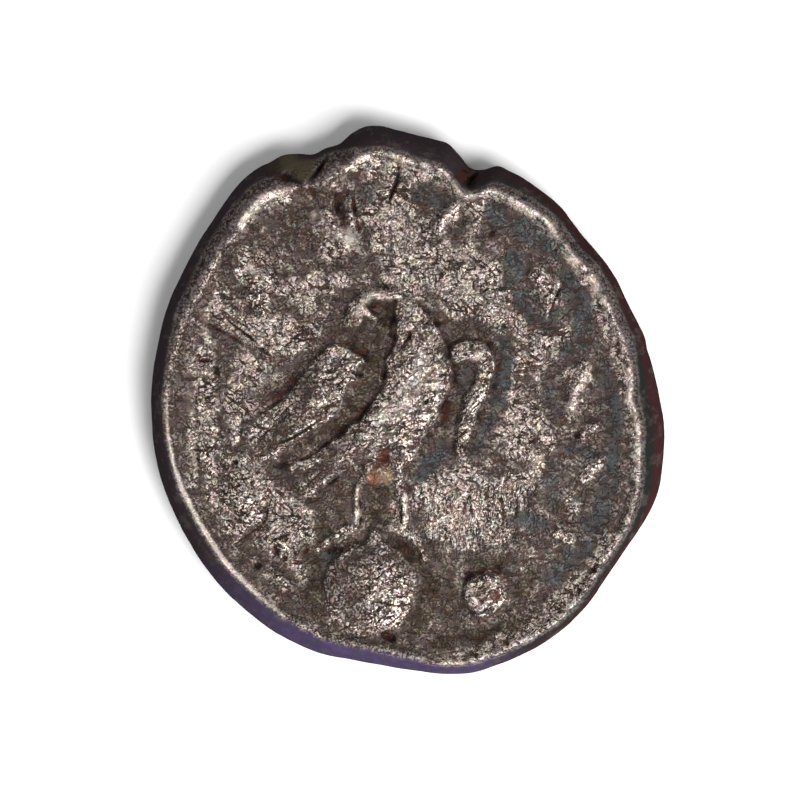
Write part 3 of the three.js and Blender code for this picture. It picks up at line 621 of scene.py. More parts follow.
        ([(2.75, 1.1), (2.55, 0.3), (2.2, -0.5)], 0.3, 0.3, 0.25),
        ([(0.4, 1.4), (0.35, 0.5), (0.0, -0.2), (-0.9, -0.6)], 0.8, 0.7, 0.5),
        ([(1.0, 1.0), (0.95, 0.3)], 0.5, 0.5, 0.5), ([(-0.4, 3.7), (-0.1, 3.4), (0.1, 3.0)], 0.4, 0.5, 0.6),
        ([(0.8, -3.5), (2.2, -3.9)], 0.8, 0.8, 0.35),
        ([(-0.5, -4.32), (0, -4.44), (0.35, -4.8)], 0.14, 0.12, 0.9),
        ([(-1.7, -2.8), (-1.72, -4.1)], 0.1, 0.12, 0.8), ([(-0.16, -3.3), (-0.04, -4.2)], 0.1, 0.14, 0.7),
        ([(-2.95, 6.3), (-2.75, 5.75), (-2.35, 5.45)], 0.25, 0.35, 0.9),
        ([(1.9, 3.7), (2.5, 3.4)], 0.4, 0.5, 0.5), ([(-0.2, 4.65), (1.0, 4.4)], 0.3, 0.3, 0.45),
        ([(-0.4, 3.2), (0.2, 2.7), (0.5, 2.4)], 0.3, 0.3, 0.5), ([(-3.9, 2.5), (-3.4, 2.5)], 0.4, 0.4, 0.4),
        ([(0.7, 1.0), (0.7, 0.3), (0.0, -0.6), (-1.0, -1.3), (-1.6, -1.4)], 0.5, 0.4, 0.45),
        ([(2.45, 1.2), (2.3, 0.5), (2.0, -0.7)], 0.3, 0.3, 0.55),
        ([(-2.2, 1.3), (-2.4, 0.3), (-2.35, -0.3)], 0.3, 0.45, 0.4),
        ([(4.4, 0.8), (4.5, -0.4)], 0.3, 0.3, 0.4), ([(4.3, -1.6), (4.6, -1.7)], 0.3, 0.3, 0.5),
        ([(-3.3, -3.9), (-2.9, -4.1)], 0.4, 0.4, 0.45), ([(-2.8, -6.5), (-2.6, -7.4)], 0.3, 0.4, 0.4),
        ([(-6.2, 3.2), (-5.8, 2.8)], 0.25, 0.25, 0.5), ([(1.0, 7.55), (1.4, 7.4)], 0.25, 0.25, 0.5),
        ([(4.2, 5.9), (5.3, 5.2)], 0.25, 0.3, 0.5), ([(7.1, 2.4), (7.5, 1.2), (7.3, 0.0)], 0.35, 0.35, 0.4),
        ([(-7.3, 0.2), (-7.2, -0.5)], 0.3, 0.3, 0.5), ([(-2.15, 6.7), (-2.1, 6.4)], 0.2, 0.2, 0.9),
        ([(-2.1, 5.5), (-1.9, 5.2)], 0.3, 0.3, 0.8), ([(1.15, 5.7), (1.6, 6.4)], 0.25, 0.25, 0.7),
        ([(2.1, 5.4), (2.3, 5.75)], 0.2, 0.2, 0.4), ([(4.4, 3.5), (4.6, 3.2)], 0.3, 0.3, 0.7),
        ([(-5.2, 4.35), (-5.0, 4.2)], 0.4, 0.4, 0.7), ([(-4.6, 6.5), (-4.3, 6.4)], 0.3, 0.3, 0.6),
        ([(4.6, 4.2), (4.9, 3.4)], 0.16, 0.2, 0.6), ([(5.85, 0.9), (5.5, -0.1)], 0.2, 0.25, 0.7),
        ([(6.3, -2.05), (6.5, -2.2)], 0.16, 0.2, 0.8), ([(-5.3, 5.7), (-4.6, 4.3)], 0.08, 0.14, 0.6),
        ([(2.15, -6.4), (2.3, -6.9)], 0.25, 0.25, 0.7), ([(2.4, -6.15), (3.0, -6.1)], 0.25, 0.2, 0.6),
        ([(-6.8, 2.2), (-6.6, 1.8)], 0.2, 0.3, 0.7), ([(-6.8, 0.95), (-6.5, 0.8)], 0.3, 0.3, 0.7),
        ([(-4.9, 3.8), (-4.95, 3.3)], 0.4, 0.4, 0.3), ([(-6.8, -0.3), (-6.5, -1.0)], 0.3, 0.3, 0.5),
    ),
    "deep": (
        # Under the claws: dirt, and painted shadow.
        ([(-0.6, -4.75), (-0.1, -5.05), (0.35, -5.5)], 0.35, 0.2, 0.45),
        ([(-1.9, -4.85), (-2.6, -5.15)], 0.3, 0.25, 0.45),
        ([(-2.6, 1.98), (-2.0, 1.92), (-1.6, 1.66), (-1.3, 1.36)], 0.08, 0.14, 0.9),
        # Along the near wing's upper-left edge, its side away from the light: painted shade.
        ([(-3.6, 0.85), (-4.1, 0.2), (-4.8, -0.2)], 0.2, 0.12, 0.7),
        # Over the beak: painted shadow lines.
        ([(-0.95, 3.82), (-0.6, 3.74), (-0.35, 3.56)], 0.08, 0.08, 0.9),
        ([(-1.35, 3.16), (-0.95, 3.24), (-0.6, 3.24)], 0.06, 0.16, 1),
        ([(-1.2, 2.52), (-0.8, 2.5)], 0.12, 0.12, 0.7),
        # Round the body and the far wing, at their feet: dirt, and painted shade.
        ([(0.45, 3.2), (0.95, 2.75), (1.22, 2.15), (1.5, 1.5), (1.56, 0.8), (1.4, 0.05), (1.06, -0.7),
          (0.7, -1.3)], 0.07, 0.14, 0.9),
        ([(-0.48, 3.1), (-0.47, 2.4), (-0.5, 1.8), (-0.76, 1.36)], 0.06, 0.08, 0.8),
        ([(-0.82, 1.1), (-0.84, 0.5), (-1.2, 0.0), (-1.7, -0.72), (-2.5, -1.3), (-3.3, -1.86),
          (-4.2, -2.2)], 0.05, 0.1, 0.9),
        ([(1.7, 1.84), (2.2, 2.02), (2.76, 1.96), (3.06, 1.5), (3.04, 1.0)], 0.06, 0.08, 0.9),
        ([(3.0, 0.9), (2.84, 0.25), (2.5, -0.4), (2.34, -1.0)], 0.06, 0.04, 0.6),
        ([(1.72, 1.3), (1.75, 0.8), (1.9, 0.3)], 0.1, 0.08, 0.5),
        ([(1.9, -1.5), (2.2, -1.95)], 0.12, 0.16, 0.7),
        # Under the claws again: dirt, and painted shadow.
        ([(-2.95, -4.9), (-2.4, -5.0), (-1.9, -4.9)], 0.3, 0.3, 0.4),
        ([(-0.62, -4.6), (-0.2, -4.75), (0.15, -5.2)], 0.24, 0.2, 0.4),
        ([(0.4, -5.6), (0.48, -6.3), (0.3, -7.0)], 0.1, 0.08, 0.5),
        ([(1.98, -6.1), (1.9, -6.7), (2.1, -7.2)], 0.14, 0.1, 0.6),
        ([(2.1, -6.0), (2.8, -5.72), (3.4, -6.1)], 0.16, 0.12, 0.8),
        ([(1.9, 7.6), (2.15, 7.2)], 0.3, 0.3, 1), ([(-3.8, 7.5), (-3.2, 7.4)], 0.3, 0.3, 0.9),
        ([(-4.4, 7.45), (-3.6, 7.1)], 0.2, 0.2, 0.8), ([(-2.3, 6.8), (-2.2, 6.1)], 0.2, 0.24, 1),
    ),
}


# ---------------------------------------------------------------- the flan

# The border, at directions in degrees from +X: how far its crest stands in from the edge, how wide the dark
# outermost band is, how brightly the crest is painted, as rubbed metal and as a painted highlight where it
# catches the light, and how wide that bright line is.
BORDER = (
    (0, 1.12, 0.85, 0.8, 0.16), (6, 0.92, 0.72, 0.8, 0.2), (12, 0.84, 0.5, 0.8, 0.2),
    (25, 0.8, 0.44, 0.75, 0.18), (36, 0.8, 0.44, 0.9, 0.18), (50, 0.84, 0.5, 1.0, 0.22),
    (60, 0.9, 0.58, 1.0, 0.22), (68, 0.96, 0.7, 0.8, 0.2), (74, 1.02, 0.92, 0.5, 0.16),
    (79, 1.05, 0.92, 0.9, 0.2), (92, 1.04, 0.9, 0.7, 0.18), (100, 1.08, 0.86, 0.6, 0.18),
    (106, 0.95, 0.3, 0.3, 0.18), (111, 1.15, 0.3, 0.1, 0.16), (116, 1.3, 0.5, 0.1, 0.16),
    (120, 1.2, 0.7, 0.85, 0.18), (126, 1.02, 0.5, 1.0, 0.2), (134, 0.98, 0.44, 0.85, 0.18),
    (143, 0.95, 0.44, 0.3, 0.16), (150, 0.88, 0.46, 0, 0.14), (164, 0.74, 0.5, 0, 0.1),
    (176, 0.62, 0.56, 0.3, 0.06), (190, 0.6, 0.58, 0.9, 0.06), (200, 0.64, 0.6, 1.0, 0.07),
    (212, 0.7, 0.64, 1.1, 0.07), (226, 0.76, 0.7, 1.1, 0.08), (238, 0.76, 0.7, 0.5, 0.08),
    (248, 0.68, 0.62, 0.1, 0.1), (262, 0.62, 0.56, 0.2, 0.14), (275, 0.52, 0.46, 0.5, 0.16),
    (285, 0.5, 0.42, 0.7, 0.18), (300, 0.5, 0.42, 0.5, 0.2), (320, 0.5, 0.38, 0.5, 0.22),
    (330, 0.56, 0.42, 0.6, 0.2), (340, 0.84, 0.68, 0.8, 0.16), (350, 1.0, 0.82, 0.8, 0.18),
    (360, 1.12, 0.85, 0.8, 0.16),
)

# Height at which the border's rolled band meets the edge.
EDGE_Z = 0.95
# How steeply the band rolls over: 1 is a straight slope.
ROLL = 1.9
# Width of the flat land under the border, on which the coin lies.
LAND_WIDTH = 0.8
# On the underside, how far inside the edge the face and the border's crest begin.
LOWER_START = 0.55
LOWER_CREST = 0.65
# The edge's profile from the upper face down to the land: the share of the way, how far in from the
# widest line, and the height.
EDGE_PROFILE = ((0.2, 0.03, 0.82), (0.45, 0.0, 0.55), (0.7, 0.06, 0.24), (0.88, 0.24, 0.06), (1.0, 0.45, 0.0))
# Rings of faces down the edge, and the degrees between two readings of the outline.
RINGS = 8
OUTLINE_STEP = 3.0

# Small bulges and hollows of the outline: direction and spread in degrees, and height.
BULGES = ((302, 7, 0.05), (226, 16, 0.06), (339, 7, 0.08), (2, 7, -0.07))


def turned(degrees, towards):
    """The turn between two directions, from -180 to 180 degrees."""
    return (degrees - towards + 180) % 360 - 180


def at_direction(radius, degrees):
    """The place that lies a radius out in a direction."""
    return radius * np.cos(np.radians(degrees)), radius * np.sin(np.radians(degrees))


def rolled(share):
    """How far the rolled band has risen, at a share of its width in from the edge."""
    return 1 - (1 - share) ** ROLL


def raggedness(facing):
    """The fine unevenness of the edge's line."""
    return 0.02 * ripple(facing * 0.15, np.zeros_like(facing), 0.9, 41, 3)


class Flan:
    """The coin's outline, taken from the CAD solid, and the sizes that follow from it."""

    def __init__(self, look):
        self.field_z = look.field_z / MM
        self.crest_z = look.crest_z / MM
        self.spread = look.spread
        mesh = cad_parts["coin"].data
        places = np.empty(len(mesh.vertices) * 3)
        mesh.vertices.foreach_get("co", places)
        x, y, z = places.reshape(-1, 3).T / MM
        radius = np.hypot(x, y)
        widest = (z > 0.6) & (z < 1.0) & (radius > 7)
        facing = np.degrees(np.arctan2(y, x))[widest] % 360
        radius = radius[widest]
        self.outer = np.array([radius[np.abs(turned(facing, towards)) < 2].max()
                               for towards in np.arange(0, 360, OUTLINE_STEP)])

    def edge(self, degrees):
        """The edge's radius: a smooth curve through the solid's corners, bulged and spread a little."""
        step = (degrees % 360) / OUTLINE_STEP
        i = np.floor(step).astype(int)
        t = step - i
        p0, p1, p2, p3 = (self.outer[(i + k) % len(self.outer)] for k in (-1, 0, 1, 2))
        cubic = 2 * p0 - 5 * p1 + 4 * p2 - p3 + t * (3 * (p1 - p2) + p3 - p0)
        smooth = p1 + 0.5 * t * (p2 - p0 + t * cubic)
        for towards, breadth, height in BULGES:
            smooth = smooth + height * bell(turned(degrees, towards), breadth)
        return smooth + self.spread

    def border(self, degrees):
        """The crest's inset, the dark band's width, the crest's shine and its width, at a direction."""
        columns = list(zip(*BORDER))
        return [np.interp(degrees % 360, columns[0], column) for column in columns[1:]]


def to_disc(u, v):
    """Draws a square's places out to a round disc, each cell keeping its share of the area."""
    sideways = np.abs(u) > np.abs(v)
    big = np.where(sideways, u, v)
    small = np.where(sideways, v, u)
    turn = (math.pi / 4) * small / np.where(big == 0, 1, big)
    angle = np.where(sideways, turn, math.pi / 2 - turn)
    return np.abs(big), np.degrees(np.where(big < 0, angle + math.pi, angle))


def add_sheet(cells, z):
    """A gridded square, with its place applied."""
    bpy.ops.object.select_all(action="DESELECT")
    bpy.ops.mesh.primitive_grid_add(x_subdivisions=cells, y_subdivisions=cells, size=2, location=(0, 0, z))
    bpy.ops.object.transform_apply(location=True, rotation=True, scale=True)
    return bpy.context.object


def add_blank(cells):
    """A blank by hand: a gridded square, its border drawn down ring by ring, and a coarser square below."""
    upper = add_sheet(cells, 1)
    bpy.ops.object.mode_set(mode="EDIT")
    bpy.ops.mesh.select_all(action="SELECT")
    bpy.ops.mesh.region_to_loop()
    for _ in range(RINGS):
        bpy.ops.mesh.extrude_edges_move(TRANSFORM_OT_translate={"value": (0, 0, -1 / RINGS)})
    bpy.ops.object.mode_set(mode="OBJECT")
    add_sheet(cells // 2, -1)
    bpy.ops.object.mode_set(mode="EDIT")
    bpy.ops.mesh.select_all(action="SELECT")
    bpy.ops.mesh.flip_normals()
    bpy.ops.object.mode_set(mode="OBJECT")
    upper.select_set(True)
    bpy.context.view_layer.objects.active = upper
    bpy.ops.object.join()
    bpy.ops.object.mode_set(mode="EDIT")
    bpy.ops.mesh.select_mode(type="EDGE")
    bpy.ops.mesh.select_all(action="DESELECT")
    bpy.ops.mesh.select_non_manifold(extend=False)
    bpy.ops.mesh.bridge_edge_loops()
    bpy.ops.object.mode_set(mode="OBJECT")
    return upper


class Rim:
    """What the border is at each place of the upper face."""

    def __init__(self, flan, face, facing, away):
        """Away is each place's distance inwards from the edge, which wavers a little inside it."""
        self.inset, self.dark_width, self.shine, self.shine_width = flan.border(facing)
        wavering = 0.06 * ripple(face.x, face.y, 1.1, 31, 3) * ease(away, 0.0, 0.5)
        self.from_edge = away + wavering
        self.past_crest = self.from_edge - self.inset
        self.near_edge = 1 - ease(away, 1.5, 2.5)
        self.on_band = 1 - ease(self.past_crest, -0.1, 0.02)
        self.inside = 1 - self.on_band
        self.dark_band = 1 - ease(self.from_edge - self.dark_width, -0.1, 0.08)

    def slope(self):
        """The band between the dark edge and the crest, toned dark and painted paler towards the crest as
        painted shading over its roll.
        """
        slope = np.clip(self.on_band - self.dark_band, 0, 1)
        width = np.maximum(self.inset - self.dark_width, 0.05)
        return slope * (1 - 0.7 * ease((self.from_edge - self.dark_width) / width, 0.0, 1.0))

    def roll(self, flan, face):
        """The face's relief with the border on it: a rolled band outside the crest, a softer fall inside."""
        crest = flan.crest_z - flan.field_z
        crest = crest * (1 + 0.2 * ripple(face.x, face.y, 2.2, 33, 2))
        fall = 0.5 * ease(self.past_crest, 0.0, 0.28) + 0.5 * ease(self.past_crest, 0.1, 0.95)
        outer = np.clip(self.from_edge / self.inset, 0, 1)
        band = EDGE_Z - flan.field_z + (crest + flan.field_z - EDGE_Z) * rolled(outer)
        sunk = np.minimum(face.height, 0)
        return np.where(self.from_edge < self.inset, band + sunk * ease(self.from_edge, 0, 0.4),
                        np.maximum(face.height, crest * (1 - fall) + sunk))

    def lip(self):
        """A thin raised line along the crest, where it is painted bright as rubbed metal and painted
        highlight.
        """
        lip = 0.04 * self.shine * bell(self.past_crest, self.shine_width + 0.02) * self.near_edge
        return lip * (self.shine_width > 0.11)


def lay_tones(face, rim):
    """Lays each tone along its curves and works out the masks that the metal reads."""
    for tone, rows in TONES.items():
        for row in rows:
            face.paint(tone, *row)
    tones = face.tones
    for tone in ("slate", "olive", "toned", "bare"):
        tones[tone] *= rim.inside
    for tone in ("slate", "olive"):
        tones[tone] *= 1 - 0.85 * face.figure * (1 - 0.5 * ease(face.height, 0.1, 0.0))
    # The feet of the figures are darkened, partly dirt and partly painted shade, and the border's crest is
    # painted bright in flecks, as rubbed metal and painted highlight.
    foot = bell(face.foot, 0.2) * (0.5 + 0.8 * ripple(face.x, face.y, 0.9, 35, 2))
    tones["olive"] = np.maximum(tones["olive"], 0.6 * foot * (1 - 0.8 * tones["bare"]))
    flecks = 0.7 + 0.6 * ripple(face.x, face.y, 0.35, 32, 3)
    lit = bell(rim.past_crest - 0.04, 1.25 * rim.shine_width) * rim.shine * rim.near_edge
    tones["rubbed_and_highlit"] = np.maximum(tones["rubbed_and_highlit"], lit * np.clip(flecks + (rim.shine_width < 0.1), 0, 1))
    bare = np.clip(0.3 + 0.7 * tones["bare"] + 0.45 * face.figure - 0.7 * tones["slate"]
                   - 0.75 * tones["olive"] - 0.6 * tones["toned"], 0.05, 1)
    crest_zone = bell(rim.past_crest - 0.1, 0.25) * (rim.shine_width > 0.1) * rim.near_edge
    bare = np.maximum(bare * rim.inside, 0.8 * rim.shine * crest_zone)
    return dict(tones, bare=bare, band=rim.dark_band, slope=rim.slope(), figure=face.figure)


def shape_upper(flan, u, v, look):
    """Heights and masks of the upper face, from inside the edge to the middle."""
    reach, facing = to_disc(u, v)
    edge = flan.edge(facing) + raggedness(facing) * ease(reach, 0.8, 1)
    radius = reach * (edge - look.edge_start)
    x, y = at_direction(radius, facing)
    face = Face(x - DIE_X, y - DIE_Y)
    rim = Rim(flan, face, facing, edge - radius)

    strike_eagle(face)
    strike_feathers(face)
    strike_globe(face)
    strike_inscription(face)
    # Wear takes the tops of the figures down together.
    over = np.maximum(face.height - look.wear_z, 0)
    face.height = face.height - 0.6 * over
    strike_damage(face)
    relief = rim.roll(flan, face)
    masks = lay_tones(face, rim)

    # The field is a little uneven, and its bare parts are etched into fine grains.
    swell = 0.03 * ripple(face.x, face.y, 2.6, 51, 2)
    lumps = 0.8 * ripple(face.x, face.y, 0.4, 56, 2) + 0.55 * ripple(face.x, face.y, 0.19, 57, 1)
    rough = look.grain * (0.25 + 0.75 * masks["bare"]) * 0.055 * lumps * (1 - 0.85 * rim.dark_band)
    height = flan.field_z + relief + rim.lip() + swell * rim.inside + rough
    return x, y, height, masks


def shape_ring(flan, u, v, share, look):
    """The edge, drawn round from the upper face down to the land that the coin lies on."""
    _, facing = to_disc(u, v)
    edge = flan.edge(facing) + raggedness(facing)
    start_z = EDGE_Z + (flan.crest_z - EDGE_Z) * rolled(look.edge_start / flan.border(facing)[0])
    shares, insets, heights = zip((0, look.edge_start, 0), *EDGE_PROFILE)
    away = np.interp(share, shares, insets)
    height = np.interp(share, shares, heights)
    # The first stretch falls from the band's own height.
    first, _, first_z = EDGE_PROFILE[0]
    height = np.where(share < first, start_z + (first_z - start_z) * share / first, height)
    x, y = at_direction(edge, facing)
    rough = 0.03 * ripple(x, y + height * 2, 0.7, 61, 3)
    x, y = at_direction(edge - away + rough * np.sin(np.pi * share), facing)
    return x, y, height


def strike_wreath(face, rise):
    """Two rows of leaves, nine pairs up each side from the foot."""
    ring = 5
    for side in (-1, 1):
        for i in range(9):
            around = -90 + side * (12 + i * 17)
            for away, splay in ((-0.42, 62), (0.42, 118)):
                out = math.radians(around)
                lean = math.radians(around + side * splay)
                middle = np.array([(ring - away) * math.cos(out), (ring - away) * math.sin(out)])
                arm = 0.62 * np.array([math.cos(lean), math.sin(lean)])
                at, depth, along = face.beside([middle - arm, middle, middle + arm], 0.42, 0.42, 0.5)
                depth = depth - 0.16 * np.abs(2 * along - 1) ** 2
                face.stand(at, depth, rise, 0.24)


def strike_star(face, rise):
    """A star of six tapered rays round a boss."""
    for i in range(6):
        out = math.radians(30 + i * 60)
        tip = np.array([math.cos(out), math.sin(out)])
        at, depth, _ = face.beside([0.5 * tip, 1.2 * tip, 2 * tip], 0.42, 0.14, 0.5)
        face.stand(at, depth, rise, 0.2)
    at, depth = face.inside_round(0, 0, 0.36, 1)
    face.stand(at, depth, rise, 0.3)


def shape_lower(flan, u, v):
    """The underside: a star in a wreath, low and worn, inside the border that the coin lies on."""
    reach, facing = to_disc(u, v)
    edge = flan.edge(facing)
    radius = reach * (edge - LOWER_START)
    x, y = at_direction(radius, facing)
    face = Face(x - DIE_X, y - DIE_Y)
    strike_wreath(face, 0.17)
    strike_star(face, 0.17)
    hollow = ease(edge - radius - LOWER_CREST, LAND_WIDTH, LAND_WIDTH + 0.45)
    relief = np.minimum(face.height, 0.2) * hollow
    swell = 0.03 * ripple(face.x, face.y, 2.4, 71, 3)
    lumps = 0.02 * ripple(face.x, face.y, 0.45, 72, 3)
    height = 0.3 * hollow - relief + (swell + lumps) * hollow
    return x, y, np.maximum(height, 0), face.figure


def grid_order(u, v, cells):
    """Where each place of a gridded square comes in its grid, row after row."""
    return (np.rint((u + 1) / 2 * cells) * (cells + 1) + np.rint((v + 1) / 2 * cells)).astype(int)


def openness(height, cells, order):
    """How far each place of a gridded face stands above its surroundings."""
    reach = 6
    sheet = np.zeros((cells + 1, cells + 1))
    sheet.flat[order] = height
    spread = sheet
    kernel = bell(np.arange(-reach, reach + 1), 3.0)
    kernel /= kernel.sum()
    for axis in (0, 1):
        padded = np.pad(spread, [(reach, reach) if a == axis else (0, 0) for a in (0, 1)], mode="edge")
        spread = sum(weight * np.take(padded, np.arange(i, i + cells + 1), axis=axis)
                     for i, weight in enumerate(kernel))
    return (sheet - spread).flat[order]


def strike_coin(look):
    """Makes the blank, moves its points to the struck shape and gives each point its masks."""
    cells = look.cells
    coin = add_blank(cells)
    coin.name = "worn_coin"
    mesh = coin.data
    mesh.name = "worn_coin"
    count = len(mesh.vertices)
    places = np.empty(count * 3)
    mesh.vertices.foreach_get("co", places)
    u, v, level = places.reshape(-1, 3).T
    flan = Flan(look)
    x = np.zeros(count)
    y = np.zeros(count)
    z = np.zeros(count)
    masks = {name: np.zeros(count) for name in (*TONES, "band", "slope", "figure", "open", "under")}

    upper = np.nonzero(level > 1 - 0.5 / RINGS)[0]
    x[upper], y[upper], z[upper], found = shape_upper(flan, u[upper], v[upper], look)
    for name, values in found.items():
        masks[name][upper] = values
    masks["open"][upper] = openness(z[upper], cells, grid_order(u[upper], v[upper], cells))

    ring = np.nonzero((level <= 1 - 0.5 / RINGS) & (level > -0.5))[0]
    x[ring], y[ring], z[ring] = shape_ring(flan, u[ring], v[ring], 1 - level[ring], look)
    masks["band"][ring] = 1

    lower = np.nonzero(level < -0.5)[0]
    x[lower], y[lower], z[lower], masks["figure"][lower] = shape_lower(flan, u[lower], v[lower])
    masks["bare"][lower] = 0.5
    masks["under"][lower] = 1
    half = cells // 2
    masks["open"][lower] = -openness(z[lower], half, grid_order(u[lower], v[lower], half))

    mesh.vertices.foreach_set("co", (np.stack([x, y, z], axis=1) * MM).ravel())
    mesh.update()
    for name, values in masks.items():
        layer = mesh.attributes.new(name, "FLOAT", "POINT")
        layer.data.foreach_set("value", values.astype(np.float32))
    bpy.ops.object.select_all(action="DESELECT")
    coin.select_set(True)
    bpy.context.view_layer.objects.active = coin
    bpy.ops.object.shade_smooth()
    return coin


# ---------------------------------------------------------------- materials

class Sock:
    """A value socket whose sums are written as ordinary expressions."""

    def __init__(self, shader, socket):
        self.shader = shader
        self.socket = socket

    def _math(self, operation, *values):
        return self.shader.node("ShaderNodeMath", {"operation": operation}, dict(enumerate(values)))

    def __add__(self, other):
        return self._math("ADD", self, other)

    def __radd__(self, other):
        return self._math("ADD", other, self)

    def __sub__(self, other):
        return self._math("SUBTRACT", self, other)

    def __rsub__(self, other):
        return self._math("SUBTRACT", other, self)

    def __mul__(self, other):
        return self._math("MULTIPLY", self, other)

    def __rmul__(self, other):
        return self._math("MULTIPLY", other, self)

    def __abs__(self):
        return self._math("ABSOLUTE", self)

    def clamp(self):
        """Held between 0 and 1."""
        return self.shader.node("ShaderNodeClamp", {}, {"Value": self})

    def ramp(self, low, high):
        """0 at low, 1 at high, smooth between them."""
        return self.shader.node("ShaderNodeMapRange", {"interpolation_type": "SMOOTHSTEP"},
                                {"Value": self, "From Min": low, "From Max": high}, "Result")


class Shader:
    """A node material under construction."""

    def __init__(self, name):
        self.material = bpy.data.materials.new(name)
        self.material.use_nodes = True
        self.tree = self.material.node_tree
        self.tree.nodes.clear()

    def node(self, kind, settings, values, output=0):
        """Adds a node, sets it, links or fills its inputs, and returns the output that is asked for."""
        made = self.tree.nodes.new(kind)
        for name, value in settings.items():
            setattr(made, name, value)
        for name, value in values.items():
            if isinstance(value, Sock):
                self.tree.links.new(value.socket, made.inputs[name])
            else:
                made.inputs[name].default_value = value
        return Sock(self, made.outputs[output]) if made.outputs else None

    def attribute(self, name):
        """A mask that the mesh carries."""
        return self.node("ShaderNodeAttribute", {"attribute_name": name}, {}, "Fac")

    def noise(self, place, scale, detail=3.0, rough=0.6):
        """Cloudy grain in one value."""
        return self.node("ShaderNodeTexNoise", {}, {"Vector": place, "Scale": scale, "Detail": detail,
                                                    "Roughness": rough}, "Fac")

    def noise_colour(self, place, scale, detail):
        """Cloudy grain in three values, about 0."""
        colour = self.node("ShaderNodeTexNoise", {}, {
            "Vector": place, "Scale": scale, "Detail": detail}, "Color")
        return self.vector("SUBTRACT", colour, (0.5, 0.5, 0.5))

    def vector(self, operation, first, second, output="Vector"):
        """Sums on places and colours."""
        return self.node("ShaderNodeVectorMath", {"operation": operation}, {0: first, 1: second}, output)

    def mix(self, share, low, high):
        """Mixes two colours, each a socket or three plain numbers."""
        low, high = (colour if isinstance(colour, Sock) else (*colour, 1.0) for colour in (low, high))
        return self.node("ShaderNodeMix", {"data_type": "RGBA"}, {0: share, 6: low, 7: high}, 2)

    def finish(self, surface):
        """Puts the surface on the material."""
        self.node("ShaderNodeOutputMaterial", {}, {"Surface": surface})
        return self.material


def draw_grain(shader, place):
    """Grain drawn out along four directions: level, along the plumage, upright, and across the plumage."""
    drawn = []
    for turn in (0.1, 0.72, 1.6, 2.4):
        along = shader.node("ShaderNodeMapping", {"vector_type": "TEXTURE"}, {
            "Vector": place, "Rotation": (0.0, 0.0, turn), "Scale": (5.0, 1.0, 1.0)})
        drawn.append(shader.noise(along, 8000, 1.0, 0.4))
    return drawn


def cut_creases(drawn, torn, gaps, gate, upright, figure, calm):
    """Dark creases: short dashes along the drawn grain, and longer cracks where the grain is torn."""
    level, plume, tall, cross = drawn
    here = 1 - (0.65 - 0.65 * gaps.ramp(0.42, 0.52)) * calm
    there = 1 - (0.75 - 0.75 * gate) * calm
    whole = 1.0
    for dash, share in (
        (level, (1 - 0.75 * upright) * here),
        (plume, (0.6 + 0.4 * figure) * there),
        (tall, (0.7 + 0.3 * upright) * here),
        (cross, (1 - 0.6 * upright) * (1 - 0.4 * figure) * there),
    ):
        whole = whole * (1 - dash.ramp(0.59, 0.635) * share)
    whole = whole * (1 - (1 - abs(tall - 0.5).ramp(0.01, 0.045)) * gaps.ramp(0.32, 0.46) * upright)
    crack = (1 - abs(torn - 0.5).ramp(0.008, 0.035)) * gaps.ramp(0.44, 0.52)
    return 1 - whole * (1 - crack * (1 - upright))


def tone_edge(shader, look, place, slope, mottle):
    """The tones of the slope and of the edge: violet at the bottom, reddish at the right. The slope is
    painted paler towards the crest, painted shading over its roll.
    """
    across, up, high = (shader.node("ShaderNodeSeparateXYZ", {}, {0: place}, axis) for axis in "XYZ")
    plain = 1 - (1 - up.ramp(-0.0082, -0.0045)) * (1 - across.ramp(0.002, 0.0045))
    outer = 1 - high.ramp(0.0013, 0.0016)
    # The slope's toning, painted paler towards the crest as painted shading.
    slope_tone = shader.mix(slope.ramp(0.25, 0.95), look.slope_top_toned_and_lit, look.slope)
    slope_tone = shader.mix(plain, look.violet, slope_tone)
    band_tone = shader.mix(plain, look.violet, look.edge)
    right_tone = shader.mix(outer, look.edge_face, look.edge_right)
    band_tone = shader.mix(across.ramp(0.001, 0.006) * plain, band_tone, right_tone)
    band_tone = shader.mix((mottle - 0.36).clamp() * 1.6, band_tone, look.dark)
    band_tone = shader.mix(high.ramp(0.0006, 0.00095), look.edge, band_tone)
    return slope_tone, band_tone


def lay_stains(shader, look, place, colour):
    """Rust and ochre under the breast and on the boss, and olive dirt in the fold at the upper left."""
    flat_place = shader.vector("MULTIPLY", place, (1.0, 1.0, 0.2))
    for x, y, size, shade in (
        (-0.75, -1.85, 0.24, look.rust), (-0.85, -2.15, 0.26, look.rust), (-1.15, -2.65, 0.28, look.ochre),
        (-0.7, -2.6, 0.26, look.tan), (2.95, -6.6, 0.2, look.rust), (-4.0, 8.0, 0.42, look.dirt_olive),
        (-3.45, 7.7, 0.4, look.dirt_olive), (-4.5, 7.95, 0.3, look.dirt),
    ):
        middle = ((x + DIE_X) * MM, (y + DIE_Y) * MM, 0.32 * MM)
        spot = shader.vector("DISTANCE", flat_place, middle, "Value")
        colour = shader.mix((1 - spot.ramp(size * 0.5 * MM, size * 1.3 * MM)) * 0.85, colour, shade)
    return colour


